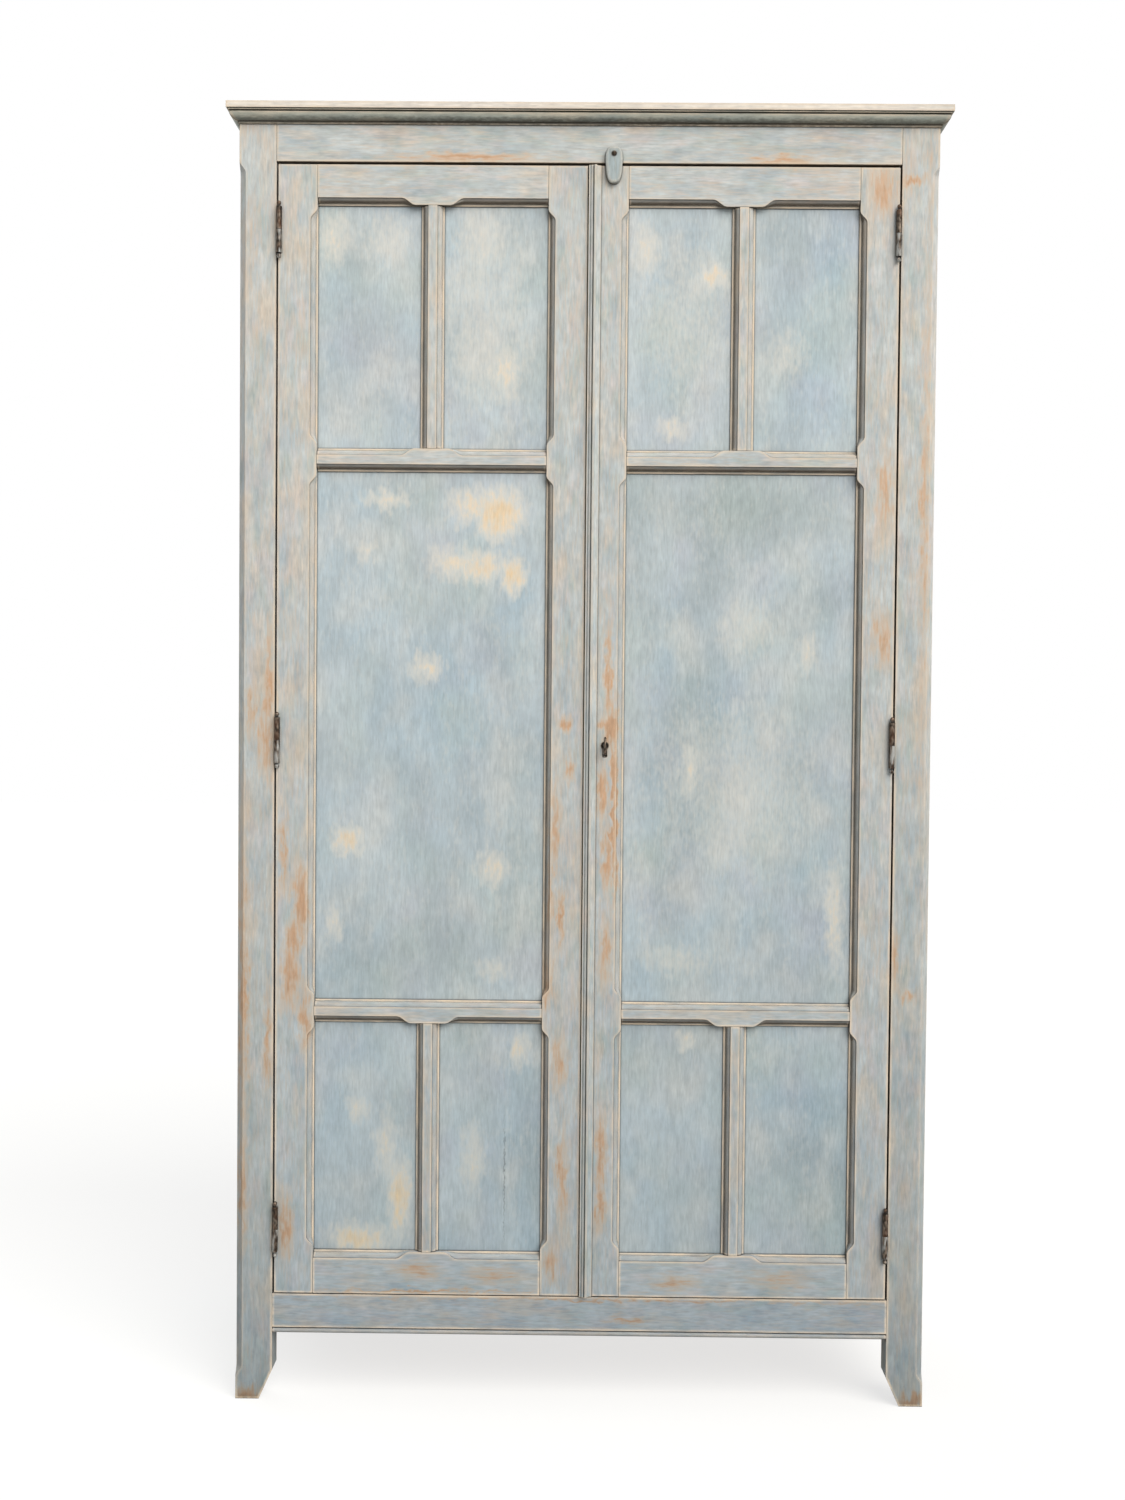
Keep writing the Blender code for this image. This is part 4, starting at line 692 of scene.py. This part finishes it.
def old_iron(name, paint_share, rust_share):
    """Old wrought iron: nearly black with painted shade in the corners, grey in worn patches, rust-brown in
    blotches, and covered by the paint brush here and there."""
    material, tree, shader = new_material(name)
    scale = drawn_out(tree, "Z", *FORGE_SCALE, detail=1.5)
    smear = drawn_out(tree, "Z", *PAINT_SMEARS, detail=3.0)
    blotch = drawn_out(tree, "Z", *RUST_BLOTCHES, detail=2.0)
    worn = add_node(tree, "ShaderNodeMapRange", {"Value": scale, "From Min": 0.4, "From Max": 0.66})
    iron = add_node(tree, "ShaderNodeMixRGB",
                    {"Fac": worn, "Color1": linear(IRON_DARK), "Color2": linear(IRON_WORN)})
    rusty = add_node(tree, "ShaderNodeMapRange", {
        "Value": blotch, "From Min": 0.4, "From Max": 0.6, "To Max": rust_share})
    iron = add_node(tree, "ShaderNodeMixRGB", {"Fac": rusty, "Color1": iron, "Color2": linear(IRON_RUST)})
    painted = add_node(tree, "ShaderNodeMapRange", {
        "Value": smear, "From Min": 0.72 - paint_share / 2, "From Max": 0.86 - paint_share / 2,
        "To Max": 0.9})
    coat = add_node(tree, "ShaderNodeMixRGB",
                    {"Fac": painted, "Color1": iron, "Color2": linear(SMEARED_PAINT)})
    # Painted shade, nearly black, where the iron meets the wood and in its corners.
    corner = add_node(tree, "ShaderNodeAmbientOcclusion", {"Distance": IRON_SHADE_REACH}, samples=4)
    cornered_shade = add_node(tree, "ShaderNodeMapRange", {
        "Value": corner.outputs["AO"], "From Min": 0.96, "From Max": 0.7, "To Max": 0.95})
    coat = add_node(tree, "ShaderNodeMixRGB", {"Fac": cornered_shade, "Color1": coat, "Color2": linear(IRON_SHADE)})

    bare = add_node(tree, "ShaderNodeMath", {0: 0.9, 1: painted}, operation="SUBTRACT", use_clamp=True)
    metal = add_node(tree, "ShaderNodeMath", {0: bare, 1: cornered_shade}, operation="SUBTRACT", use_clamp=True)
    roughness = add_node(tree, "ShaderNodeMapRange", {"Value": scale, "To Min": 0.3, "To Max": 0.6})
    bump = add_node(tree, "ShaderNodeBump", {"Height": scale, "Strength": 0.3, "Distance": IRON_RELIEF})
    tree.links.new(coat.outputs[0], shader.inputs["Base Color"])
    tree.links.new(metal.outputs[0], shader.inputs["Metallic"])
    tree.links.new(roughness.outputs[0], shader.inputs["Roughness"])
    tree.links.new(bump.outputs[0], shader.inputs["Normal"])
    return material


# To the eye: the doors' leaves are brown and nearly bare, the posts' leaves are half hidden by grey smears.
leaf_irons = {"door": old_iron("wrought_iron_rusty", paint_share=0.15, rust_share=0.35),
              "frame": old_iron("wrought_iron_painted_over", paint_share=0.55, rust_share=0.15)}
for hand in ("left", "right"):
    for row in ("top", "middle", "bottom"):
        for leaf, iron in leaf_irons.items():
            dress([f"hinge_{hand}_{row}_{leaf}_leaf"], iron, FILED_ARRIS)

# Lock: a rim lock screwed to the back of the right door, its bolt, and the key left in the keyhole. They and
# the turn button's screw are dark wrought iron, filed smooth and gone brown, with hardly any paint.
lock_iron = old_iron("wrought_iron_dark", paint_share=0.0, rust_share=0.25)
dress(["lock_case", "lock_bolt", "key", "turn_button_screw"], lock_iron, FILED_ARRIS)

# Keyhole rim: a thin lining of the lock's dark iron, bent to the keyhole's shape and driven into it, so that
# it stands a little proud of the stile. Only the rim that shows is made here.
joints = frame["record"]["behaviour"]["joints"]
KEY_PLACE = Vector(next(joint["pos_m"] for joint in joints if joint["name"] == "key_turn"))
KEYHOLE_RADIUS = 0.0045
KEYHOLE_SLOT = 0.0042
KEYHOLE_DROP = 0.0165
RIM_WIDTH = 0.0017
RIM_PROUD = 0.0007
RIM_CLEARANCE = 0.0002
RIM_SLOPE = 0.0004
RIM_ARRIS = 0.00015
RIM_STEPS = 20
STILE_GAP = 0.0001


def keyhole_outline(beyond, y):
    """A keyhole's outline, so much wider all round: its round top, then the slot with a round end."""
    radius = KEYHOLE_RADIUS + beyond
    half = KEYHOLE_SLOT / 2 + beyond
    start = math.asin(half / radius)
    points = []
    for i in range(RIM_STEPS + 1):
        angle = start + (2 * math.pi - 2 * start) * i / RIM_STEPS
        points.append((KEY_PLACE.x - radius * math.sin(angle), y, KEY_PLACE.z - radius * math.cos(angle)))
    for i in range(RIM_STEPS // 2 + 1):
        angle = math.pi * i / (RIM_STEPS // 2)
        drop = KEYHOLE_DROP + beyond * math.sin(angle)
        points.append((KEY_PLACE.x + half * math.cos(angle), y, KEY_PLACE.z - drop))
    return points


def band(mesh, ring, following):
    """Faces between two rings of as many points."""
    for i in range(len(ring)):
        after = (i + 1) % len(ring)
        mesh.faces.new((ring[i], ring[after], following[after], following[i]))


def placed(name, mesh):
    """A new piece in the scene with the finished mesh."""
    piece = bpy.data.objects.new(name, bpy.data.meshes.new(name))
    mesh.to_mesh(piece.data)
    mesh.free()
    bpy.context.scene.collection.objects.link(piece)
    return piece


rim_back = FRONT - STILE_GAP
rim_face = FRONT - RIM_PROUD
mesh = bmesh.new()
rings = [[mesh.verts.new(point) for point in outline] for outline in (
    keyhole_outline(RIM_CLEARANCE, rim_back),
    keyhole_outline(RIM_SLOPE, rim_face),
    keyhole_outline(RIM_WIDTH - RIM_SLOPE, rim_face),
    keyhole_outline(RIM_WIDTH, rim_back))]
for ring, following in zip(rings, rings[1:] + rings[:1]):
    band(mesh, ring, following)
bmesh.ops.recalc_face_normals(mesh, faces=mesh.faces)
keyhole_rim = placed("keyhole_rim", mesh)
keyhole_rim.data.materials.append(lock_iron)
ease_arrises(keyhole_rim, RIM_ARRIS)
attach(keyhole_rim, "right_door")

# Keeper: a staple bent from a strip of the lock's dark iron and screwed by its two feet to the back of the
# left door's closing stile. The lock's bolt slides into it.
KEEPER_WIDTH = 0.011
KEEPER_THICKNESS = 0.0015
KEEPER_FOOT = 0.012
KEEPER_ROOM = 0.0015
KEEPER_SETBACK = 0.0032
KEEPER_GAP = 0.0002
bolt_low, bolt_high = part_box("lock_bolt")
stile_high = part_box("left_door_closing_stile")[1]
keeper_edge = stile_high.x - KEEPER_SETBACK
seat = stile_high.y + KEEPER_GAP
crown = bolt_high.y + KEEPER_ROOM
low = bolt_low.z - KEEPER_ROOM
high = bolt_high.z + KEEPER_ROOM
inside = [(seat, low - KEEPER_FOOT), (seat, low), (crown, low),
          (crown, high), (seat, high), (seat, high + KEEPER_FOOT)]
outer_seat, outer_crown = seat + KEEPER_THICKNESS, crown + KEEPER_THICKNESS
outer_low, outer_high = low - KEEPER_THICKNESS, high + KEEPER_THICKNESS
outside = [(outer_seat, high + KEEPER_FOOT), (outer_seat, outer_high), (outer_crown, outer_high),
           (outer_crown, outer_low), (outer_seat, outer_low), (outer_seat, low - KEEPER_FOOT)]
mesh = bmesh.new()
ends = [[mesh.verts.new((x, y, z)) for y, z in inside + outside]
        for x in (keeper_edge, keeper_edge - KEEPER_WIDTH)]
for end in ends:
    mesh.faces.new(end)
band(mesh, *ends)
bmesh.ops.recalc_face_normals(mesh, faces=mesh.faces)
keeper = placed("bolt_keeper", mesh)
keeper.data.materials.append(lock_iron)
ease_arrises(keeper, FILED_ARRIS)
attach(keeper, "left_door")

# Turn button: a small whittled tongue of wood that turns on a screw in the frieze and holds the right door.
# Painted a plain pale grey, handled smooth, with cream showing round its edge.
WHITTLED_ARRIS = 0.0008
BUTTON_GREY = "#AEB9BA"
BUTTON_UNDERCOAT = "#DAD6C6"
BUTTON_WOOD = "#CDBB9C"
button_paint = chalk_paint("chalk_paint_on_turn_button", "Z", BUTTON_GREY, GREY_TINTS[:1], BUTTON_UNDERCOAT,
                           BUTTON_WOOD, rubbing=0.3, edge_rubbing=0.8, softness=0.4)
dress(["turn_button"], button_paint, WHITTLED_ARRIS)

# Floor: a plain pale matt sheet under the cupboard, a hair below its feet. It glows just enough to show white
# to the eye and in reflections, yet takes the cupboard's shadow.
FLOOR_SIZE = 30.0
FLOOR_GAP = 0.0005
FLOOR_GREY = "#9E9E9C"
FLOOR_GLOW = 0.7
WHITE = (1.0, 1.0, 1.0, 1.0)


def seen_directly(tree):
    """1 for what is looked at, also in a reflection or through a clear thing, and 0 for light that falls."""
    path = add_node(tree, "ShaderNodeLightPath")
    seen = add_node(tree, "ShaderNodeMath",
                    {0: path.outputs["Is Camera Ray"], 1: path.outputs["Is Glossy Ray"]}, operation="MAXIMUM")
    return add_node(tree, "ShaderNodeMath", {0: seen, 1: path.outputs["Is Transmission Ray"]},
                    operation="MAXIMUM")


mesh = bmesh.new()
bmesh.ops.create_grid(mesh, x_segments=1, y_segments=1, size=FLOOR_SIZE / 2)
floor = placed("floor", mesh)
floor.location.z = cad_box[0].z - FLOOR_GAP
pale, tree, shader = new_material("pale_matt_floor")
shader.inputs["Base Color"].default_value = linear(FLOOR_GREY)
shader.inputs["Roughness"].default_value = 0.9
shader.inputs["Specular IOR Level"].default_value = 0.0
shader.inputs["Emission Color"].default_value = WHITE
glow = add_node(tree, "ShaderNodeMath", {0: seen_directly(tree), 1: FLOOR_GLOW}, operation="MULTIPLY")
tree.links.new(glow.outputs[0], shader.inputs["Emission Strength"])
floor.data.materials.append(pale)

# Light: even daylight from all round, slightly cool, with a broad soft lamp far off before the doors, above
# and to the right, and a weaker one behind and to the left. Looked at or reflected, the background is white.
SKY = "#F2F6FA"
SKY_LEVEL = 0.40
LAMP_SPREAD = math.radians(50)
# A lamp: the way its light goes, its level and its tint.
LAMPS = {
    "soft_lamp": ((-0.6, 0.9, -0.85), 2.85, "#FFFBF5"),
    "fill_lamp": ((0.6, -0.75, -0.3), 1.3, "#FFFFFF"),
}
world = bpy.data.worlds.new("white_surround")
world.use_nodes = True
bpy.context.scene.world = world
tree = world.node_tree
tree.nodes.clear()
sky = add_node(tree, "ShaderNodeBackground", {"Color": linear(SKY), "Strength": SKY_LEVEL})
white = add_node(tree, "ShaderNodeBackground", {"Color": WHITE, "Strength": 1.0})
surround = add_node(tree, "ShaderNodeMixShader", {0: seen_directly(tree), 1: sky, 2: white})
add_node(tree, "ShaderNodeOutputWorld", {"Surface": surround})
for name, (direction, level, tint) in LAMPS.items():
    lamp_data = bpy.data.lights.new(name, "SUN")
    lamp_data.energy = level
    lamp_data.angle = LAMP_SPREAD
    lamp_data.color = linear(tint)[:3]
    lamp = bpy.data.objects.new(name, lamp_data)
    lamp.rotation_euler = Vector(direction).to_track_quat("-Z", "Y").to_euler()
    bpy.context.scene.collection.objects.link(lamp)
bpy.context.scene.view_settings.view_transform = "Standard"

# Camera: at elbow height, nearly three metres before the doors, turned, dipped and rolled by less than two
# degrees, to fit the photograph. Its focal length and the image's longer side are in the photograph's pixels.
CAMERA_PLACE = (-0.0064, -2.9876, 1.0968)
CAMERA_DIP = 1.655
CAMERA_TURN = 0.547
CAMERA_ROLL = 0.498
IMAGE_HEIGHT = 1500
FOCAL_PIXELS = 1800
camera_data = bpy.data.cameras.new("camera")
camera_data.lens = camera_data.sensor_width * FOCAL_PIXELS / IMAGE_HEIGHT
camera = bpy.data.objects.new("camera", camera_data)
turn = Matrix.Rotation(math.radians(CAMERA_TURN), 4, "Z")
dip = Matrix.Rotation(math.radians(90 - CAMERA_DIP), 4, "X")
roll = Matrix.Rotation(math.radians(CAMERA_ROLL), 4, "Z")
camera.matrix_world = Matrix.Translation(CAMERA_PLACE) @ turn @ dip @ roll
bpy.context.scene.collection.objects.link(camera)
bpy.context.scene.camera = camera
